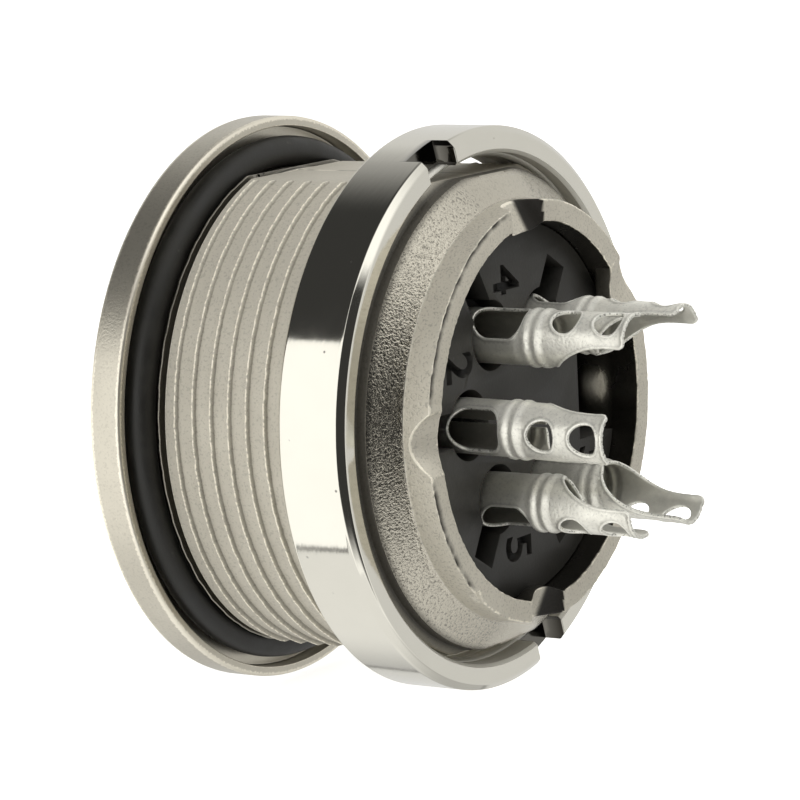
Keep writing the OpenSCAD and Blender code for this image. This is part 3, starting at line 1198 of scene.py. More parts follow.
    def _shade_bore(self, skin: Skin) -> None:
        """Paints shade on the wall behind the collar, more towards the bottom, and raises the rounded lug
        behind the key's notch, clearing the shade on it as a painted highlight.

        Args:
            skin: Grid of the shell, changed in place.
        """
        bore = skin.on(Zone.BORE) & (skin.x < self.rear_x - 0.08)
        z = skin.r * np.sin(skin.angle)
        # Painted shade on the bore wall, darker towards the bottom.
        wall = np.where(skin.x > self.wall_shade_x, *self.wall_shades)
        wall = wall + self.low_shade * ease(*self.low_shade_zs, z)
        skin.darken(np.where(bore, wall, 0.0))
        lug = np.exp(-((z - self.lug_z) / self.lug_half_w) ** 2) * (np.cos(skin.angle) < 0.0) * bore
        lug = lug * ease(*self.lug_rise, skin.x) * ease(*self.lug_fall, skin.x)
        skin.r -= self.lug_height * lug
        # Clearing the shade on the lug paints a highlight on it.
        skin.soil *= 1.0 - self.lug_highlight * lug
        skin.dull(self.lug_matt * lug)

    def _shade_outside(self, skin: Skin) -> None:
        """Paints shade into the narrow gaps beside the seal and in front of the cone, and darkens the
        barrel's tone a little.

        Args:
            skin: Grid of the shell, changed in place.
        """
        # Painted shade in the narrow neck beside the seal.
        skin.darken(self.neck_shade * (skin.on(Zone.NECK) & (skin.x > self.neck_shade_x)))
        barrel = skin.on(Zone.BARREL)
        skin.darken(self.barrel_soil * barrel)
        # Painted shade in the gap in front of the cone and in the cone's corner.
        gap = np.where(barrel & (skin.x > self.land_end_x + 0.1), self.gap_shade, 0.0)
        far, near = (self.shoulder_x + reach for reach in self.cone_shade_ls)
        corner = self.cone_shade * ease(far, near, skin.x)
        gap = np.where(skin.on(Zone.CONE), corner, gap)
        skin.darken(gap)
        skin.edge *= np.where(gap > 0.0, 0.0, 1.0)

    def _draw_seams(self, skin: Skin) -> None:
        """Draws the broken mould seams along the flats and smooths the cone where the flats run out.

        Args:
            skin: Grid of the shell, changed in place.
        """
        turn = angle_from(skin.angle, 0.0)
        seam = skin.on(Zone.BARREL) & (np.abs(np.abs(turn) - QUARTER_TURN) < self.seam_half)
        broken = np.random.default_rng(11).uniform(0.0, 1.0, (len(skin.x), 1))
        skin.darken(seam * broken)
        skin.brighten(seam * (broken < self.seam_bright))
        smooth = 1.0 - self.cone_smooth * ease(*self.cone_smooth_at, np.abs(np.sin(turn)))
        skin.grain = np.where(skin.on(Zone.CONE), skin.grain * smooth, skin.grain)

    def _flatten(self, points: np.ndarray, skin: Skin) -> None:
        """Cuts the two flats along the barrel and smooths their skin.

        Args:
            points: Places of the grid's points, changed in place.
            skin: Grid of the shell, changed in place.
        """
        limit = np.where(skin.on(Zone.BEAD), self.flat_r + self.flat_bead, self.flat_r)
        high = skin.on(Zone.BEAD, Zone.BARREL, Zone.CONE) & (np.abs(points[..., 2]) > limit - 1e-6)
        points[..., 2] = np.where(high, np.sign(points[..., 2]) * limit, points[..., 2])
        skin.grain = np.where(high, self.flat_grain, skin.grain)
        skin.matt = np.where(high, 1.0, skin.matt)


class ShapeTree:
    """Geometry node tree with named inputs, which ends in a plain mesh with its material set."""

    def __init__(self, name: str, inputs: dict[str, Socket], reshapes: bool = True) -> None:
        """Starts the tree.

        Args:
            name: Name of the tree.
            inputs: Name and kind of each size.
            reshapes: Whether the tree takes a mesh to reshape.
        """
        self.tree = bpy.data.node_groups.new(name, "GeometryNodeTree")
        face = self.tree.interface
        if reshapes:
            face.new_socket(name="Geometry", in_out="INPUT", socket_type=Socket.SHAPE.value)
        self.keys: dict[str, str] = {}
        for label, kind in {**inputs, "Material": Socket.MATERIAL}.items():
            made = face.new_socket(name=label, in_out="INPUT", socket_type=kind.value)
            self.keys[label] = made.identifier
        face.new_socket(name="Geometry", in_out="OUTPUT", socket_type=Socket.SHAPE.value)
        self.net = Net(self.tree)
        self.given = self.net.add("NodeGroupInput").outputs

    def end(self, shape: NodeSocket) -> None:
        """Ends the tree.

        Args:
            shape: Geometry to make plain and to dress.
        """
        plain = self.net.add("GeometryNodeRealizeInstances", {"Geometry": shape})
        dressed = self.net.add("GeometryNodeSetMaterial",
                               {"Geometry": plain.outputs[0], "Material": self.given["Material"]})
        self.net.add("NodeGroupOutput", {"Geometry": dressed.outputs[0]})

    def apply(self, piece: Object, sizes: dict[str, Any]) -> Object:
        """Runs the tree on a piece.

        Args:
            piece: Object to run it on, used up by this.
            sizes: Value of each named input.

        Returns:
            The result as a plain mesh.
        """
        modifier = piece.modifiers.new(self.tree.name, "NODES")
        modifier.node_group = self.tree
        for label, value in sizes.items():
            modifier[self.keys[label]] = value
        return settle(piece)


class RidgeTree(ShapeTree):
    """Winds straight ridge strips into a screw thread."""

    INPUTS = ("Start", "Pitch", "Root Radius", "Turns", "Fade", "Phase", "Flat Height")
    LEAST_HEIGHT = 0.08

    def __init__(self) -> None:
        """Builds the tree once."""
        super().__init__("wind_ridge", dict.fromkeys(self.INPUTS, Socket.FLOAT))
        net = self.net
        given = self.given
        turn, across, up = net.add(
            "ShaderNodeSeparateXYZ", {0: net.add("GeometryNodeInputPosition").outputs[0]}).outputs
        left = net.math("SUBTRACT", given["Turns"], turn)
        fade = net.product(net.step(turn, 0.0, given["Fade"]), net.step(left, 0.0, given["Fade"]))
        fade = net.math("MAXIMUM", fade, self.LEAST_HEIGHT)
        radius = net.math("ADD", given["Root Radius"], net.math("MULTIPLY", up, fade))
        along = net.math("ADD", net.math("MULTIPLY", turn, given["Pitch"]), given["Start"])
        along = net.math("ADD", along, across)
        angle = net.math("MULTIPLY", net.math("ADD", turn, given["Phase"]), -FULL_TURN)
        y = net.product(radius, net.math("COSINE", angle), -1.0)
        z = net.math("MULTIPLY", radius, net.math("SINE", angle))
        z = net.math("MINIMUM", z, given["Flat Height"])
        z = net.math("MAXIMUM", z, net.math("MULTIPLY", given["Flat Height"], -1.0))
        spot = net.add("ShaderNodeCombineXYZ", {0: along, 1: y, 2: z}).outputs[0]
        wound = net.add("GeometryNodeSetPosition", {"Geometry": given["Geometry"], "Position": spot})
        self.end(wound.outputs[0])


@dataclass
class Thread:
    """One screw thread, wound from ridge strips."""

    name: str
    start: float
    turns: float
    root_r: float
    phase: float
    ridge: tuple[Span, ...]
    fade: float = 0.4
    flat: float = 100.0
    pitch: float = 0.75
    arc_half: float = 0.0
    steps_per_turn: int = 112
    burr: float = 0.0
    wander: float = 0.008
    sink: float = 0.14
    foot_shade: float = 0.0
    foot_from: float = 0.05
    crest_wear_and_highlight_from: float = 0.7
    shortest: float = 0.06

    SMOOTHING = (0.55, 0.55, 0.55)

    def spans(self) -> list[Span]:
        """Splits the thread at the flats, where the piece has them.

        Returns:
            Stretches of the thread, in turns.
        """
        if not self.arc_half:
            return [(0.0, self.turns)]
        half = self.arc_half / 360.0
        first = math.ceil(2.0 * self.phase)
        centres = [k / 2.0 - self.phase for k in range(first - 1, first + int(2 * self.turns) + 2)]
        cut = [(max(0.0, c - half), min(self.turns, c + half)) for c in centres]
        return [(a, b) for a, b in cut if b - a > self.shortest]

    def strips(self, draw: np.random.Generator) -> tuple[np.ndarray, Faces]:
        """Lays the ridge out straight, with the turns along X.

        Args:
            draw: Source of the burrs.

        Returns:
            Points and faces of the strips, one for each stretch.
        """
        points: list[tuple[float, float, float]] = []
        faces: Faces = []
        size = len(self.ridge)
        for a, b in self.spans():
            steps = max(4, math.ceil((b - a) * self.steps_per_turn))
            base = len(points)
            rough = draw.normal(0.0, self.burr, (2, steps + 3))
            rough = [np.convolve(row, self.SMOOTHING, "valid") for row in rough]
            for u, aside, grow in zip(np.linspace(a, b, steps + 1), *rough):
                height = 1.0 + self.sink * min(0.0, grow)
                points.extend((u / MM, v + self.wander * aside, w * height) for v, w in self.ridge)
            for low in range(base, base + steps * size, size):
                for j in range(size):
                    k = (j + 1) % size
                    faces.append((low + j, low + size + j, low + size + k, low + k))
            faces.append(tuple(base + j for j in range(size)))
            faces.append(tuple(base + steps * size + j for j in reversed(range(size))))
        return np.array(points), faces

    def build(self, tree: RidgeTree, finish: Material, grain: float) -> Object:
        """Winds the thread.

        Args:
            tree: Tree that winds the strips.
            finish: Material of the thread.
            grain: Share of casting grain on its flanks.

        Returns:
            The finished piece as a plain mesh.
        """
        draw = np.random.default_rng(7)
        points, faces = self.strips(draw)
        size = len(self.ridge)
        count = len(points) // size
        crest = max(abs(w) for _, w in self.ridge)
        # Painted shadow: a dark line along the foot of each ridge's far flank.
        foot_shadow = np.tile([self.foot_shade if v > self.foot_from else 0.0 for v, _ in self.ridge], count)
        # Crest lines lightened through the edge mark: partly edge wear, partly a painted highlight on the
        # thin crests.
        bright = np.tile([float(ease(self.crest_wear_and_highlight_from, 1.0, abs(w) / crest)) for _, w in self.ridge], count)
        bright = bright * np.repeat(draw.uniform(1.0 - self.burr, 1.0, count), size)
        marks = {Mark.GRAIN: grain * (1.0 - 0.3 * np.abs(points[:, 2]) / crest), Mark.EDGE: bright,
                 Mark.MATT: np.ones(len(points)), Mark.SOIL_AND_SHADE: foot_shadow}
        strip = make_piece(self.name, points, faces, finish, marks)
        return tree.apply(strip, {
            "Start": self.start * MM, "Pitch": self.pitch * MM, "Root Radius": self.root_r * MM,
            "Turns": self.turns, "Fade": self.fade, "Phase": self.phase, "Flat Height": self.flat * MM,
            "Material": finish})


class SweepTree(ShapeTree):
    """Sweeps a round section along a ring about the axis."""

    def __init__(self) -> None:
        """Builds the tree once."""
        super().__init__("sweep_ring", {
            "Ring Radius": Socket.FLOAT, "Section Radius": Socket.FLOAT, "Station": Socket.FLOAT,
            "Ring Points": Socket.INT, "Section Points": Socket.INT}, reshapes=False)
        ring, section = (self.net.add("GeometryNodeCurvePrimitiveCircle", {
            "Resolution": self.given[f"{part} Points"],
            "Radius": self.given[f"{part} Radius"]}).outputs[0] for part in ("Ring", "Section"))
        swept = self.net.add("GeometryNodeCurveToMesh", {"Curve": ring, "Profile Curve": section})
        spot = self.net.add("ShaderNodeCombineXYZ", {0: self.given["Station"]}).outputs[0]
        laid = self.net.add("GeometryNodeTransform", {
            "Geometry": swept.outputs[0], "Translation": spot, "Rotation": (0.0, QUARTER_TURN, 0.0)})
        self.end(laid.outputs[0])


@dataclass
class PanelSeal:
    """Rubber ring in the flange's groove."""

    mid_r: float = 8.98
    mid_x: float = -0.04
    section_r: float = 0.555
    ring_points: int = 220
    section_points: int = 28

    def build(self, finish: Material) -> Object:
        """Makes the ring.

        Args:
            finish: Seal rubber.

        Returns:
            The finished ring as a plain mesh.
        """
        ring = add_object("seal_ring", bpy.data.meshes.new("seal_ring"))
        return SweepTree().apply(ring, {
            "Ring Radius": self.mid_r * MM, "Section Radius": self.section_r * MM, "Station": self.mid_x * MM,
            "Ring Points": self.ring_points, "Section Points": self.section_points, "Material": finish})


@dataclass
class RingNut:
    """Turned ring nut with two spanner slots."""

    front_x: float = 6.352
    rear_x: float = 9.052
    outer_r: float = 10.0
    bore_r: float = 9.06
    countersink: float = 0.12
    chamfer_face: float = 0.26
    chamfer_rim: float = 0.22
    slot_w: float = 1.8
    slot_depth: float = 0.85
    slot_angle: float = 72.0
    slot_round: float = 0.05
    slot_shade: float = 0.85
    slot_edge: float = 0.8
    beside_slot: tuple[float, ...] = (0.0, 0.008, 0.02, 0.035, 0.05, 0.08, 0.2, 0.35)
    within_slot: tuple[float, ...] = (0.004, 0.03, 0.3, 0.6)
    clear_of_slot: float = 0.5
    base_columns: int = 260

    def outline(self) -> Outline:
        """Traces the section, round the rim and back along the bore.

        Returns:
            The section.
        """
        face_r = self.outer_r - self.chamfer_face
        mouth_r = self.bore_r + self.countersink
        return Outline.trace([
            Corner(self.front_x, mouth_r, 0.03, Zone.FRONT),
            Corner(self.front_x, face_r, 0.05, Zone.RIM),
            Corner(self.front_x + self.chamfer_rim, self.outer_r, 0.08, Zone.RIM, 0.5),
            Corner(self.rear_x - self.chamfer_rim, self.outer_r, 0.12, Zone.RIM),
            Corner(self.rear_x, face_r, 0.24, Zone.REAR),
            Corner(self.rear_x, mouth_r, 0.03, Zone.BORE),
            Corner(self.rear_x - self.countersink, self.bore_r, 0.02, Zone.BORE),
            Corner(self.front_x + self.countersink, self.bore_r, 0.02, Zone.BORE)])

    def columns(self) -> list[tuple[float, float | None]]:
        """Spaces the columns, closer together at the slots.

        Returns:
            Angle of each column in radians, and its distance from the middle of a slot where it is at one.
        """
        half = self.slot_w / 2.0
        sides = {half + b for b in self.beside_slot} | {half - b for b in self.within_slot}
        offsets = sorted({s * d for d in sides for s in (-1, 1)} | {0.0})
        clear = math.asin((half + self.clear_of_slot) / self.bore_r)
        arc = math.pi - 2.0 * clear
        count = self.base_columns // 2
        columns: list[tuple[float, float | None]] = []
        for centre in (math.radians(self.slot_angle), math.radians(self.slot_angle) + math.pi):
            columns.extend((centre, d) for d in offsets)
            columns.extend((centre + clear + arc * k / count, None) for k in range(count + 1))
        return columns

    def build(self, finish: Material) -> Object:
        """Makes the nut.

        Args:
            finish: Bright nickel.

        Returns:
            The finished piece.
        """
        columns = self.columns()
        skin = Skin.spin(self.outline(), np.array([angle for angle, _ in columns]))
        skin.matt = skin.on(Zone.BORE).astype(float)
        for j, (_, offset) in enumerate(columns):
            if offset is not None:
                skin.angle[:, j] += np.arcsin(offset / skin.r[:, j])
                self._cut(skin, j, abs(offset))
        return skin.piece("ring_nut_turned", skin.points(), finish)

    def _cut(self, skin: Skin, j: int, offset: float) -> None:
        """Cuts one column of a slot down and paints shade on its walls, or rounds it at the slot's edge with
        the shade fading in.

        Args:
            skin: Grid of the nut, changed in place.
            j: Number of the column.
            offset: Its distance from the middle of the slot.
        """
        half = self.slot_w / 2.0
        over = half + self.slot_round - offset
        x = skin.x[:, j].copy()
        walls = x > self.rear_x - self.slot_depth
        if offset < half - 0.001:
            skin.x[:, j] = np.minimum(x, self.rear_x - self.slot_depth)
            # Painted shade on the slot's walls.
            skin.soil[:, j] = self.slot_shade * walls
        elif over > 0.0:
            drop = self.slot_round - math.sqrt(max(0.0, self.slot_round ** 2 - over ** 2))
            skin.x[:, j] = np.minimum(x, self.rear_x - drop)
            # Painted shade fading in at the slot's rounded edge.
            skin.soil[:, j] = ease(half + 0.015, half, offset) * walls
            skin.edge[:, j] = np.maximum(skin.edge[:, j], self.slot_edge * (x > self.rear_x - 0.3))


@dataclass
class Carrier:
    """Moulded contact carrier: a disc in the collar with sunk numbers, and a post in the front socket."""

    rear_x: float = 9.932
    bevel: float = 0.05
    bevel_from: float = 40.0
    sharp_from: float = 32.0
    flat_within: float = 0.5
    shade_depths: Span = (0.1, 0.4)
    number_size: float = 2.3
    number_stretch: float = 0.9
    number_bold: float = 0.06
    number_depth: float = 0.35
    number_lean: float = -90.0
    numbers: tuple[tuple[str, float, float], ...] = (
        ("4", 82.0, 4.75), ("2", 28.0, 4.45), ("5", -83.5, 4.9), ("1", 152.0, 5.3), ("3", -152.0, 5.3))
    notch_y: float = 4.05
    notch_reach: float = 4.5
    notch_half_w: float = 1.75
    notch_x: float = 7.45
    notch_past: float = 0.5

    def build(self, source: Object, name: str, finish: Material,
              sunk: Object | None = None) -> Object:
        """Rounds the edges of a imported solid.

        Args:
            source: CAD object to copy.
            name: Name of the new piece.
            finish: Moulded plastic.
            sunk: Solids to press into it, used up by this.

        Returns:
            The finished piece.
        """
        mesh = source.data.copy()
        mesh.materials.clear()
        mesh.materials.append(finish)
        work = bmesh.new()
        work.from_mesh(mesh)
        bmesh.ops.remove_doubles(work, verts=work.verts, dist=1e-7)
        bmesh.ops.dissolve_limit(work, angle_limit=math.radians(self.flat_within), verts=work.verts,
                                 edges=work.edges)
        work.to_mesh(mesh)
        work.free()
        piece = add_object(name, mesh)
        rounded = piece.modifiers.new("edges", "BEVEL")
        rounded.width = self.bevel * MM
        rounded.segments = 2
        rounded.limit_method = "ANGLE"
        rounded.angle_limit = math.radians(self.bevel_from)
        if sunk:
            press = piece.modifiers.new("numbers", "BOOLEAN")
            press.operation = "DIFFERENCE"
            press.solver = "MANIFOLD"
            press.object = sunk
        plain = settle(piece)
        if sunk:
            bpy.data.objects.remove(sunk)
        plain.data.set_sharp_from_angle(angle=math.radians(self.sharp_from))
        # Painted shade: the disc darkens deeper below its rear face, in the sunk numbers, the notch and the
        # contact holes.
        near, far = self.shade_depths
        x = read_points(plain.data)[:, 0] / MM
        set_mark(plain.data, Mark.SOIL_AND_SHADE, ease(self.rear_x - near, self.rear_x - far, x))
        return plain

    def sunk_solids(self) -> Object:
        """Makes the solids to cut from the disc: the contact numbers and the notch on the key's side.

        Returns:
            One object with all of them.
        """
        joined = bmesh.new()
        for label, angle, radius in self.numbers:
            mesh = self._number(label, polar(self.rear_x, radius, math.radians(angle)))
            joined.from_mesh(mesh)
            bpy.data.meshes.remove(mesh)
        bmesh.ops.remove_doubles(joined, verts=joined.verts, dist=1e-6)
        low = Vector((self.notch_x, self.notch_y, -self.notch_half_w))
        high = Vector((self.rear_x + self.notch_past, self.notch_y + self.notch_reach, self.notch_half_w))
        block = Matrix.LocRotScale((low + high) / 2.0 * MM, None, (high - low) * MM)
        bmesh.ops.create_cube(joined, size=1.0, matrix=block)
        bmesh.ops.recalc_face_normals(joined, faces=joined.faces)
        mesh = bpy.data.meshes.new("numbers")
        joined.to_mesh(mesh)
        joined.free()
        return add_object("numbers", mesh)

    def _number(self, label: str, spot: np.ndarray) -> Mesh:
        """Makes one solid number across the disc's rear face.

        Args:
            label: The number.
            spot: Its middle in millimetres.

        Returns:
            The number as a mesh at its place.
        """
        curve = bpy.data.curves.new("number", "FONT")
        curve.body = label
        curve.size = self.number_size * MM
        curve.align_x = "CENTER"
        curve.align_y = "CENTER"
        curve.extrude = self.number_depth * MM
        curve.offset = self.number_bold * MM
        word = add_object("number", curve)
        mesh = bpy.data.meshes.new_from_object(word.evaluated_get(bpy.context.evaluated_depsgraph_get()))
        bpy.data.objects.remove(word)
        bpy.data.curves.remove(curve)
        face = Matrix(((0, 0, 1), (self.number_stretch, 0, 0), (0, 1, 0))).to_4x4()
        lean = Matrix.Rotation(math.radians(self.number_lean), 4, "X")
        mesh.transform(Matrix.Translation(Vector(spot * MM)) @ lean @ face)
        return mesh


class PlaceTree(ShapeTree):
    """Sets a contact at its place and turn on the contact circle."""

    INPUTS = ("Circle Radius", "Place Angle", "Turn")

    def __init__(self) -> None:
        """Builds the tree once."""
        super().__init__("place_on_circle", dict.fromkeys(self.INPUTS, Socket.FLOAT))
        out, place, turn = (self.net.math("MULTIPLY", self.given[label], -1.0) for label in self.INPUTS)
        turned = self.net.add("GeometryNodeTransform", {
            "Geometry": self.given["Geometry"],
            "Rotation": self.net.add("ShaderNodeCombineXYZ", {0: turn}).outputs[0],
            "Translation": self.net.add("ShaderNodeCombineXYZ", {1: out}).outputs[0]})
        placed = self.net.add("GeometryNodeTransform", {
            "Geometry": turned.outputs[0],
            "Rotation": self.net.add("ShaderNodeCombineXYZ", {0: place}).outputs[0]})
        self.end(placed.outputs[0])


@dataclass
class Contact:
    """Contact rolled from sheet: tube, window, two beads and a solder cup with two wire holes."""

    front_x: float = 0.75
    tip_x: float = 15.79
    tip_round: float = 0.24
    tip_tear: float = 0.06
    side_tear: float = 0.006
    tip_flare: float = 0.03
    tip_flare_l: float = 0.55
    outer_r: float = 0.975
    wall: float = 0.13
    cut_taper: Span = (0.03, 0.009)
    cut_roll: Span = (0.008, 0.012)
    seam_w: float = 0.12
    window_x: float = 9.632
    window_w: float = 1.4
    window_round: float = 0.52
    bead_x: float = 11.632
    bead_w: float = 0.86
    bead_h: float = 0.07
    bead_curve: float = 1.3
    cup_x: float = 12.492
    cup_land: float = 0.5
    cup_drop: float = 0.42
    hole_r: float = 0.5
    hole_xs: Span = (13.342, 15.042)
    hole_reaches: tuple[Span, ...] = ((0.55, 0.48), (0.6, 0.46))
    hole_lip: float = 0.022
    hole_lip_w: float = 0.1
    circle_r: float = 3.35
    angles: tuple[float, ...] = (120.0, 60.0, 0.0, -60.0, -120.0)
    turns: tuple[float, ...] = (-12.0, -6.0, 0.0, 6.0, 12.0)
    droops: tuple[float, ...] = (0.16, 0.0, 0.12, 0.0, 0.14)
    droop_from: float = 0.3
    droop_curve: float = 1.2
    sharp_from: float = 60.0
    edge_step: float = 0.075
    field_steps: Span = (0.09, 0.1)
    field_half_w: float = 2.8
    field_gap: float = 0.05
    field_side_gap: float = 0.11
    insets: tuple[float, ...] = (0.018, 0.045, 0.075, 0.1)
    edge_levels: tuple[float, ...] = (1.0, 0.6, 0.2, 0.0)
    edge_shade: float = 0.25
    inner_shades: Span = (0.1, 0.45)
    inner_matt: float = 0.6
    inner_grain: float = 0.15

    @property
    def mid_r(self) -> float:
        """Radius of the middle of the sheet."""
        return self.outer_r - self.wall / 2.0

    def side(self, x: np.ndarray) -> np.ndarray:
        """Half-width of the unrolled sheet.

        Args:
            x: Stations along the contact.

        Returns:
            Half-width at each station.
        """
        slope = self.tip_x - self.cup_land - self.cup_x
        t = np.clip((x - self.cup_x) / slope, 0.0, 1.0)
        height = (self.outer_r + self.cup_drop) * (1.0 - t) ** 3 - self.cup_drop
        seam = math.pi * self.mid_r - self.seam_w / 2.0
        full = self.mid_r * np.arccos(np.clip(-height / self.mid_r, -1.0, 1.0))
        return np.minimum(seam, full)

    def border(self) -> np.ndarray:
        """Lays out the sheet's outer border, with rounded corners at the tip and slightly torn edges.

        Returns:
            Border points on the flat sheet, in order.
        """
        plain = np.concatenate([np.arange(self.front_x, self.window_x, 0.5),
                                np.arange(self.window_x, self.tip_x - 0.3, self.edge_step)])
        torn = self.side_tear * ripple(plain * 6.0, seed=0.4)
        low = np.stack([plain, -self.side(plain) + torn], axis=1)
        end = float(self.side(np.array([self.tip_x]))[0])
        bend = self.tip_round
        corner = [(self.tip_x - bend + bend * math.sin(a), -end + bend - bend * math.cos(a))
                  for a in np.linspace(0.0, QUARTER_TURN, 6)]
        across = np.arange(-end + 0.32, end - 0.28, self.edge_step)
        torn = self.tip_tear * np.abs(ripple(across * 8.0, seed=0.9))
        tip = np.stack([self.tip_x - torn, across], axis=1)
        half = np.concatenate([low, np.array(corner)])
        other = half[::-1] * np.array([1.0, -1.0])
        front_y = np.linspace(low[0, 1], -low[0, 1], 11)[1:-1][::-1]
        front = np.stack([np.full(len(front_y), self.front_x), front_y], axis=1)
        return np.concatenate([half, tip, other, front])

    def unroll(self, x: np.ndarray, z: np.ndarray) -> np.ndarray:
        """Points of a straight punch, laid out on the flat sheet."""
        return np.stack([x, self.mid_r * np.arcsin(np.clip(z / self.mid_r, -0.98, 0.98))], axis=1)

    def holes(self) -> list[np.ndarray]:
        """Lays out the window and the two wire holes.

        Returns:
            Border points of each on the flat sheet, in order.
        """
        half = self.window_w / 2.0
        bend = self.window_round
        bow = np.linspace(QUARTER_TURN, 3.0 * QUARTER_TURN, 26)
        run = np.arange(self.window_x + half + self.edge_step, self.bead_x - bend - 0.02, self.edge_step)
        back = np.linspace(-QUARTER_TURN, 0.0, 8)
        rise = np.arange(-half + bend + 0.06, half - bend - 0.03, self.edge_step)
        round_x = self.bead_x - bend + bend * np.cos(back)
        round_z = half - bend - bend * np.sin(back)
        x = [self.window_x + half + half * np.cos(bow), run, round_x, np.full(len(rise), self.bead_x),
             round_x[::-1], run[::-1]]
        z = [half * np.sin(bow), np.full(len(run), -half), -round_z, rise,
             round_z[::-1], np.full(len(run), half)]
        loops = [self.unroll(np.concatenate(x), np.concatenate(z))]
        turn = np.linspace(0.0, FULL_TURN, 44, endpoint=False)
        cos = np.cos(turn)
        for centre, (back_reach, reach) in zip(self.hole_xs, self.hole_reaches):
            along = np.where(cos > 0.0, reach * np.abs(cos) ** 0.8, back_reach * cos)
            loops.append(self.unroll(centre + along, self.hole_r * np.sin(turn)))
        return loops

    @staticmethod
    def offset(loop: np.ndarray, distance: float) -> np.ndarray:
        """Moves a border sideways.

        Args:
            loop: Border points in order.
            distance: Shift to the left of the border's direction.

        Returns:
            The shifted border.
        """
        ahead = np.roll(loop, -1, axis=0) - np.roll(loop, 1, axis=0)
        ahead /= np.linalg.norm(ahead, axis=1)[:, None]
        return loop + distance * np.stack([-ahead[:, 1], ahead[:, 0]], axis=1)

    @staticmethod
    def enclosed(points: np.ndarray, loop: np.ndarray) -> np.ndarray:
        """Tells which points lie inside a border.

        Args:
            points: Points to test.
            loop: Border points in order.

        Returns:
            Mask of the points inside.
        """
        a = loop[None, :, :]
        b = np.roll(loop, -1, axis=0)[None, :, :]
        p = points[:, None, :]
        crosses = (a[..., 1] > p[..., 1]) != (b[..., 1] > p[..., 1])
        rise = np.where(np.abs(b[..., 1] - a[..., 1]) < 1e-12, 1e-12, b[..., 1] - a[..., 1])
        at = a[..., 0] + (p[..., 1] - a[..., 1]) * (b[..., 0] - a[..., 0]) / rise
        return np.sum(crosses & (p[..., 0] < at), axis=1) % 2 == 1

    @classmethod
    def on_metal(cls, points: np.ndarray, loops: list[np.ndarray]) -> np.ndarray:
        """Tells which points lie on the sheet's metal.

        Args:
            points: Points to test.
            loops: The sheet's outer border, then its holes.

        Returns:
            Mask of the points inside the border and outside the holes.
        """
        keep = cls.enclosed(points, loops[0])
        for hole in loops[1:]:
            keep &= ~cls.enclosed(points, hole)
        return keep

    @staticmethod
    def area(loop: np.ndarray) -> float:
        """Signed area inside a border."""
        on = np.roll(loop, -1, axis=0)
        return 0.5 * float(np.sum(loop[:, 0] * on[:, 1] - on[:, 0] * loop[:, 1]))

    def field(self, loops: list[np.ndarray]) -> np.ndarray:
        """Strews points over the metal, clear of its edges.

        Args:
            loops: The sheet's outer border, then its holes.

        Returns:
            The points on the flat sheet.
        """
        along, across = self.field_steps
        rows = np.concatenate([np.arange(self.front_x + 0.5, self.window_x - 0.2, 0.6),
                               np.arange(self.window_x - 0.1, self.tip_x, along)])
        columns = np.arange(-self.field_half_w, self.field_half_w + 0.01, across)
        u, v = np.meshgrid(rows, columns, indexing="ij")
        v = v + across / 2.0 * (np.arange(len(rows)) % 2)[:, None]
        points = np.stack([u.ravel(), v.ravel()], axis=1)
        points = points[self.on_metal(points, loops)]
        inner = np.concatenate([self.offset(loop, self.insets[-1]) for loop in loops])
        gap = np.array([np.min(np.hypot(*(inner - p).T)) for p in points])
        side_gap = self.side(points[:, 0]) - np.abs(points[:, 1])
        return points[(gap > self.field_gap) & (side_gap > self.field_side_gap)]

    def sheet(self) -> tuple[np.ndarray, np.ndarray, Faces, list[list[int]]]:
        """Cuts the flat sheet into triangles.

        Returns:
            Flat points, their distance class from an edge, the triangles, and the borders as point numbers.
        """
        border = self.border()
        loops = [border if self.area(border) > 0.0 else border[::-1]]
        loops.extend(h if self.area(h) < 0.0 else h[::-1] for h in self.holes())
        flat: list[np.ndarray] = []
        depth: list[np.ndarray] = []
        edges: list[tuple[int, int]] = []
        borders: list[list[int]] = []
        count = 0
        for inset in (0.0, *self.insets):
            for loop in loops:
                moved = self.offset(loop, inset)
                numbers = list(range(count, count + len(moved)))
                edges.extend(zip(numbers, numbers[1:] + numbers[:1]))
                borders.append(numbers)
                flat.append(moved)
                depth.append(np.full(len(moved), inset))
                count += len(moved)
        flat.append(self.field(loops))
        depth.append(np.full(len(flat[-1]), 1.0))
        points = [Vector(p) for p in np.concatenate(flat).tolist()]
        places, _, made_faces, source = delaunay_2d_cdt(points, edges, [], 0, 1e-7)[:4]
        made = np.array([tuple(p) for p in places])
        back = {old: new for new, olds in enumerate(source) for old in olds}
        level = np.concatenate(depth)
        made_depth = np.array([min(level[o] for o in olds) if olds else 1.0 for olds in source])
        tris = [tuple(f) for f in made_faces]
        middle = np.array([made[list(f)].mean(axis=0) for f in tris])
        kept = [f for f, keep in zip(tris, self.on_metal(middle, loops)) if keep]
        return made, made_depth, kept, [[back[i] for i in loop] for loop in borders[:len(loops)]]

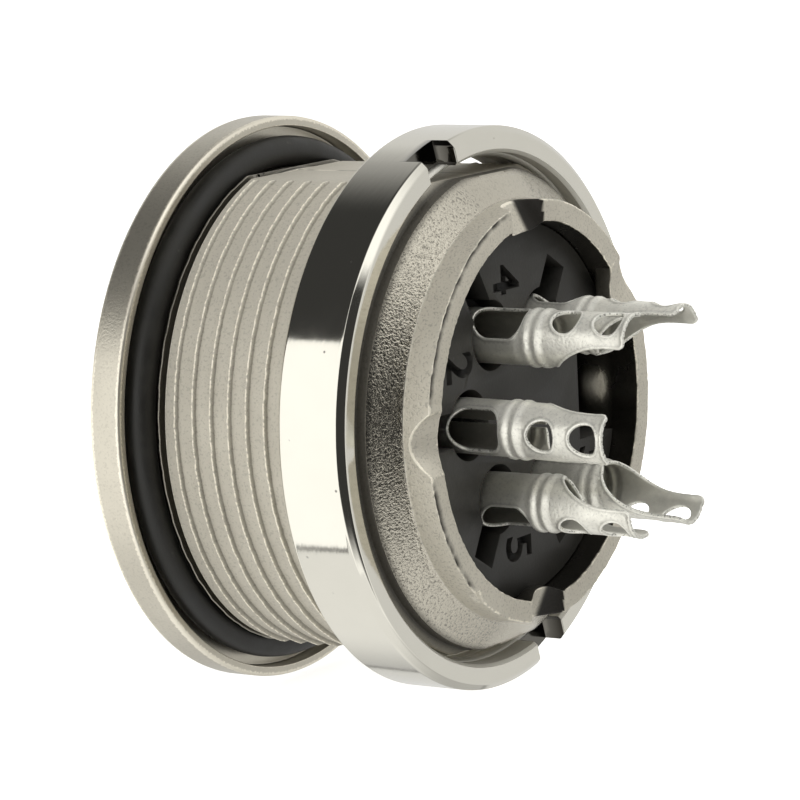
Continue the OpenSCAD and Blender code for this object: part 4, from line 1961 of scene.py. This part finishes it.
    def blank(self, finish: Material) -> Object:
        """Rolls the cut sheet into one contact along X, with its window towards -Y.

        Args:
            finish: Tin-plated sheet.

        Returns:
            The rolled contact, not yet at its place.
        """
        flat, depth, tris, borders = self.sheet()
        count = len(flat)
        x = flat[:, 0]
        half = self.wall / 2.0
        thick = np.select([depth < 0.001, depth < self.insets[0] + 0.001],
                          [half - taper for taper in self.cut_taper], half)
        u = (x - self.bead_x) / (self.bead_w / 2.0)
        wave = np.abs(np.sin(math.pi * u)) ** self.bead_curve
        shape = np.where((u > 0.0) & (u < 2.0), wave, 0.0) * self.bead_h
        shape = shape + self.tip_flare * ease(self.tip_x - self.tip_flare_l, self.tip_x, x)
        for centre in self.hole_xs:
            away = np.hypot(x - centre, flat[:, 1])
            lip = np.exp(-((away - self.hole_r) / self.hole_lip_w) ** 2)
            shape += self.hole_lip * lip * ease(centre + 0.2, centre - 0.3, x)
        roll = flat[:, 1] / self.mid_r
        raised = np.interp(depth, (0.0, self.insets[2], self.insets[3], 1.0), (*self.cut_roll, 0.0, 0.0))
        outer = polar(x, self.mid_r + shape + thick + raised, roll)
        inner = polar(x, self.mid_r + shape - thick, roll)
        faces = [tuple(f) for f in tris] + [tuple(count + i for i in reversed(f)) for f in tris]
        for loop in borders:
            for a, b in zip(loop, loop[1:] + loop[:1]):
                faces.append((b, a, count + a, count + b))
        points = np.concatenate([outer, inner])
        return make_piece("contact_blank", points, faces, finish, self._marks(x, depth))

    def _marks(self, x: np.ndarray, depth: np.ndarray) -> dict[Mark, np.ndarray]:
        """Works out the sheet's marks, for its outer side and then its inner side.

        Args:
            x: Stations of the sheet's points.
            depth: Their distance class from an edge.

        Returns:
            The marks.
        """
        edge = np.interp(depth, (0.0, *self.insets[1:]), self.edge_levels)
        # Painted shadow: a dark line at the foot of the raised rim along every cut edge.
        line = self.edge_shade * (np.abs(depth - self.insets[3]) < 0.001)
        # Painted shade inside the rolled tube, darker in front of the bead.
        least, more = self.inner_shades
        inner_shade = least + more * ease(self.bead_x + 0.9, self.bead_x - 0.1, x)
        frosted = 0.5 + 0.5 * ease(self.bead_x - 0.5, self.bead_x + 0.2, x)
        return {Mark.EDGE: np.tile(edge, 2), Mark.SOIL_AND_SHADE: np.concatenate([line, inner_shade]),
                Mark.MATT: np.concatenate([frosted, np.full(len(x), self.inner_matt)]),
                Mark.GRAIN: np.concatenate([0.2 + 0.8 * frosted, np.full(len(x), self.inner_grain)])}

    def build(self, finish: Material) -> list[Object]:
        """Makes the five contacts at their places.

        Args:
            finish: Tin-plated sheet.

        Returns:
            The contacts in their numbered order.
        """
        blank = self.blank(finish)
        tree = PlaceTree()
        pieces = []
        for i, (angle, turn, droop) in enumerate(zip(self.angles, self.turns, self.droops), start=1):
            copy = add_object(f"solder_contact_{i}", blank.data.copy())
            piece = tree.apply(copy, {"Circle Radius": self.circle_r * MM, "Place Angle": math.radians(angle),
                                      "Turn": math.radians(turn), "Material": finish})
            piece.data.set_sharp_from_angle(angle=math.radians(self.sharp_from))
            self._sag(piece, droop)
            pieces.append(piece)
        bpy.data.objects.remove(blank)
        return pieces

    def _sag(self, piece: Object, droop: float) -> None:
        """Bends a contact's tail down.

        Args:
            piece: Contact at its place.
            droop: Drop of the tip in millimetres.
        """
        places = read_points(piece.data)
        start = self.window_x + self.droop_from
        out = np.clip((places[:, 0] / MM - start) / (self.tip_x - start), 0.0, 1.0)
        places[:, 2] -= droop * MM * out ** self.droop_curve
        piece.data.vertices.foreach_set("co", places.ravel())
        piece.data.update()


@dataclass
class Studio:
    """Floor, surrounding light, overhead lamp and camera."""

    floor_z: float = -10.28
    floor_half: float = 3000.0
    floor_points: int = 9
    floor_glow: float = 0.8
    location: tuple[float, float, float] = (0.083022, -0.118325, 0.023063)
    right: tuple[float, float, float] = (0.8378, 0.5439, -0.0475)
    up: tuple[float, float, float] = (-0.0478, 0.1597, 0.9860)
    back: tuple[float, float, float] = (0.5439, -0.8237, 0.1598)
    lens: float = 180.0
    sensor: float = 36.0
    clip_start: float = 0.005
    lamp_at: tuple[float, float, float] = (0.06, -0.05, 0.15)
    lamp_size: float = 0.16
    lamp_power: float = 0.25
    tent_tone: Rgba = (1.0, 0.995, 0.97, 1.0)
    tent_level: Span = (1.35, 0.72)
    below_level: float = 0.70
    least_level: float = 0.045
    tent_ys: Span = (0.1, 0.6)
    below_zs: Span = (-0.665, -0.655)
    card_depths: tuple[Span, ...] = ((-1.51, -1.45), (1.35, 0.05))
    card_across: Span = (0.6, 0.05)
    card_rise: Span = (0.0, 0.06)
    dark_lean: float = 0.9
    dark_top: Span = (0.68, 0.42)
    dark_sides: tuple[Span, ...] = ((0.42, 0.22), (-2.2, -1.5))
    dark_foot: Span = (-0.95, -0.55)
    dark_ahead: Span = (0.0, 0.05)
    seam_zs: tuple[Span, ...] = ((-0.645, -0.652), (-0.672, -0.665))
    seam_xs: Span = (0.1, -0.1)
    seam_shade: float = 0.8

    def build(self) -> Object:
        """Sets up the studio.

        Returns:
            The floor.
        """
        scene = bpy.context.scene
        scene.view_settings.view_transform = "Standard"
        scene.view_settings.look = "None"
        scene.camera = self._camera()
        scene.world = self._tent()
        self._lamp()
        return self._floor()

    def _camera(self) -> Object:
        """Puts the camera at the viewing angle.

        Returns:
            The camera.
        """
        data = bpy.data.cameras.new("camera")
        data.lens = self.lens
        data.sensor_width = self.sensor
        data.clip_start = self.clip_start
        camera = add_object("camera", data)
        axes = Matrix((self.right, self.up, self.back)).transposed().to_4x4()
        camera.matrix_world = Matrix.Translation(self.location) @ axes
        return camera

    def _tent(self) -> World:
        """Builds the surrounding light: a bright tent with a dark card overhead and a dark side.

        Returns:
            The world.
        """
        world = bpy.data.worlds.new("tent")
        world.use_nodes = True
        world.node_tree.nodes.clear()
        net = Net(world.node_tree)
        look = net.add("ShaderNodeTexCoord").outputs["Generated"]
        x, y, z = net.add("ShaderNodeSeparateXYZ", {0: look}).outputs
        above = net.math("MAXIMUM", z, 0.001)
        across = net.math("DIVIDE", x, above)
        deep = net.math("DIVIDE", y, above)
        card = net.product(*(net.step(deep, *span) for span in self.card_depths),
                           net.step(across, *self.card_across), net.step(z, *self.card_rise))
        ahead = net.math("MAXIMUM", x, 0.001)
        side = net.math("DIVIDE", y, ahead)
        rise = net.math("DIVIDE", z, ahead)
        lean = net.math("ADD", rise, net.math("MULTIPLY", side, self.dark_lean))
        dark = net.product(net.step(lean, *self.dark_top),
                           *(net.step(side, *span) for span in self.dark_sides),
                           net.step(rise, *self.dark_foot), net.step(x, *self.dark_ahead))
        seam = net.product(*(net.step(z, *span) for span in self.seam_zs),
                           net.step(x, *self.seam_xs, 0.0, self.seam_shade))
        shade = net.math("MAXIMUM", net.math("MAXIMUM", card, dark), seam)
        white = net.product(net.step(y, *self.tent_ys, *self.tent_level),
                            net.step(z, *self.below_zs, self.below_level, 1.0))
        lit = net.math("MULTIPLY", white, net.math("SUBTRACT", 1.0, shade))
        seen = net.add("ShaderNodeLightPath").outputs["Is Camera Ray"]
        tone = net.mix(seen, self.tent_tone, (1.0, 1.0, 1.0, 1.0))
        level = net.math("MAXIMUM", net.math("ADD", lit, self.least_level), seen)
        sky = net.add("ShaderNodeBackground", {"Color": tone, "Strength": level})
        net.add("ShaderNodeOutputWorld", {"Surface": sky.outputs[0]})
        return world

    def _lamp(self) -> None:
        """Hangs a soft lamp overhead that lights matt surfaces and shows in no reflection."""
        data = bpy.data.lights.new("overhead", "AREA")
        data.size = self.lamp_size
        data.energy = self.lamp_power
        lamp = add_object("overhead", data)
        lamp.location = self.lamp_at
        lamp.visible_camera = False
        lamp.visible_glossy = False

    def _floor(self) -> Object:
        """Lays the pale floor, a little uneven in tone and lit through from below.

        Returns:
            The floor.
        """
        finish = Finish("pale_floor", (0.86, 0.86, 0.85))
        material, net, place = finish.start()
        shader = net.add("ShaderNodeBsdfPrincipled", {
            "Base Color": net.mix(net.noise(place, 9.0, 3.0), finish.rgba, finish.shade(1.03)),
            "Roughness": 0.9, "Emission Color": (1.0, 1.0, 0.99, 1.0), "Emission Strength": self.floor_glow})
        net.add("ShaderNodeOutputMaterial", {"Surface": shader.outputs[0]})
        n = self.floor_points
        steps = np.linspace(-self.floor_half, self.floor_half, n)
        gx, gy = np.meshgrid(steps, steps, indexing="ij")
        points = np.stack([gx.ravel(), gy.ravel(), np.full(gx.size, self.floor_z)], axis=1)
        corners = [i * n + j for i in range(n - 1) for j in range(n - 1)]
        mesh = bpy.data.meshes.new("floor")
        mesh.from_pydata((points * MM).tolist(), [], [(c, c + n, c + n + 1, c + 1) for c in corners])
        mesh.materials.append(material)
        floor = add_object("floor", mesh)
        floor.visible_glossy = False
        floor.visible_diffuse = False
        return floor


PANEL_RIDGE = ((-0.065, -0.04), (-0.05, 0.04), (-0.036, 0.12), (-0.022, 0.15), (0.022, 0.15),
               (0.036, 0.12), (0.052, 0.04), (0.085, 0.004), (0.10, -0.04))
COUPLING_RIDGE = ((-0.30, 0.03), (-0.2, -0.04), (-0.05, -0.30), (0.05, -0.30), (0.2, -0.04), (0.30, 0.03))
NUT_RIDGE = ((-0.2, 0.03), (-0.14, -0.05), (-0.05, -0.13), (0.05, -0.13), (0.14, -0.05), (0.2, 0.03))
"""Sections of the ridges: place along the axis and height over the root, in order round the section."""


@dataclass
class Connector:
    """The whole connector: builds each sub-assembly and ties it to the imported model."""

    nodes: dict[str, Object]
    nut_start: float = 7.0

    def place(self, piece: Object, body: Body, slot: Slot, *stands_for: str) -> None:
        """Ties a finished piece to its body, hides the CAD nodes that it replaces, and reports it.

        Args:
            piece: Finished piece.
            body: Body that it moves with.
            slot: Not used.
            stands_for: CAD nodes that it replaces.
        """
        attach(piece, body.value)
        if stands_for:
            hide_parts(*stands_for)
        LOG.info("%s rides on %s with %d faces", piece.name, body.value, len(piece.data.polygons))

    def build(self) -> None:
        """Builds every piece in order."""
        effects = Effects()
        cast = CastNickel("cast_nickel", (0.615, 0.58, 0.495)).material(effects)
        bright = BrightNickel("plated_nickel", (0.745, 0.725, 0.655)).material(effects)
        tin = TinSheet("tin_sheet", (0.95, 0.935, 0.85)).material(effects)
        plastic = MouldedPlastic("dark_plastic", (0.036, 0.0345, 0.031)).material(effects)
        rubber = SealRubber("black_rubber", (0.0095, 0.009, 0.0075)).material(effects)
        ridges = RidgeTree()

        self.place(Shell().build(cast), Body.CONNECTOR, Slot.CAST, "flange", "barrel", "collar")
        panel = Thread("panel_thread", 1.165, 9.7, 8.84, 0.62, PANEL_RIDGE, fade=0.25, flat=8.34,
                       arc_half=70.0, steps_per_turn=720, burr=0.7, foot_shade=0.4)
        self.place(panel.build(ridges, cast, 0.5), Body.CONNECTOR, Slot.CAST)
        coupling = Thread("coupling_thread", -0.67, 8.8, 7.92, 0.0, COUPLING_RIDGE)
        self.place(coupling.build(ridges, cast, 0.2), Body.CONNECTOR, Slot.CAST)

        self.place(PanelSeal().build(rubber), Body.CONNECTOR, Slot.RUBBER, "panel_seal")

        self.place(RingNut().build(bright), Body.NUT, Slot.BRIGHT, "ring_nut")
        nut_phase = panel.phase + (self.nut_start - panel.start) / panel.pitch + 0.5
        inner = Thread("nut_thread", self.nut_start, 2.2, 9.06, nut_phase, NUT_RIDGE, fade=0.3)
        self.place(inner.build(ridges, bright, 0.0), Body.NUT, Slot.BRIGHT)

        carrier = Carrier()
        disc = carrier.build(self.nodes["contact_insert"], "carrier_disc", plastic, carrier.sunk_solids())
        self.place(disc, Body.CONNECTOR, Slot.PLASTIC, "contact_insert")
        post = carrier.build(self.nodes["contact_post"], "carrier_post", plastic)
        self.place(post, Body.CONNECTOR, Slot.PLASTIC, "contact_post")

        for i, piece in enumerate(Contact().build(tin), start=1):
            self.place(piece, Body.CONNECTOR, Slot.TIN, f"contact_{i}")


def main() -> None:
    """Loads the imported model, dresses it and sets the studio."""
    logging.basicConfig(level=logging.INFO, format="%(name)s: %(message)s")
    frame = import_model()
    Connector(frame["nodes"]).build()
    Studio().build()


if __name__ == "__main__":
    main()
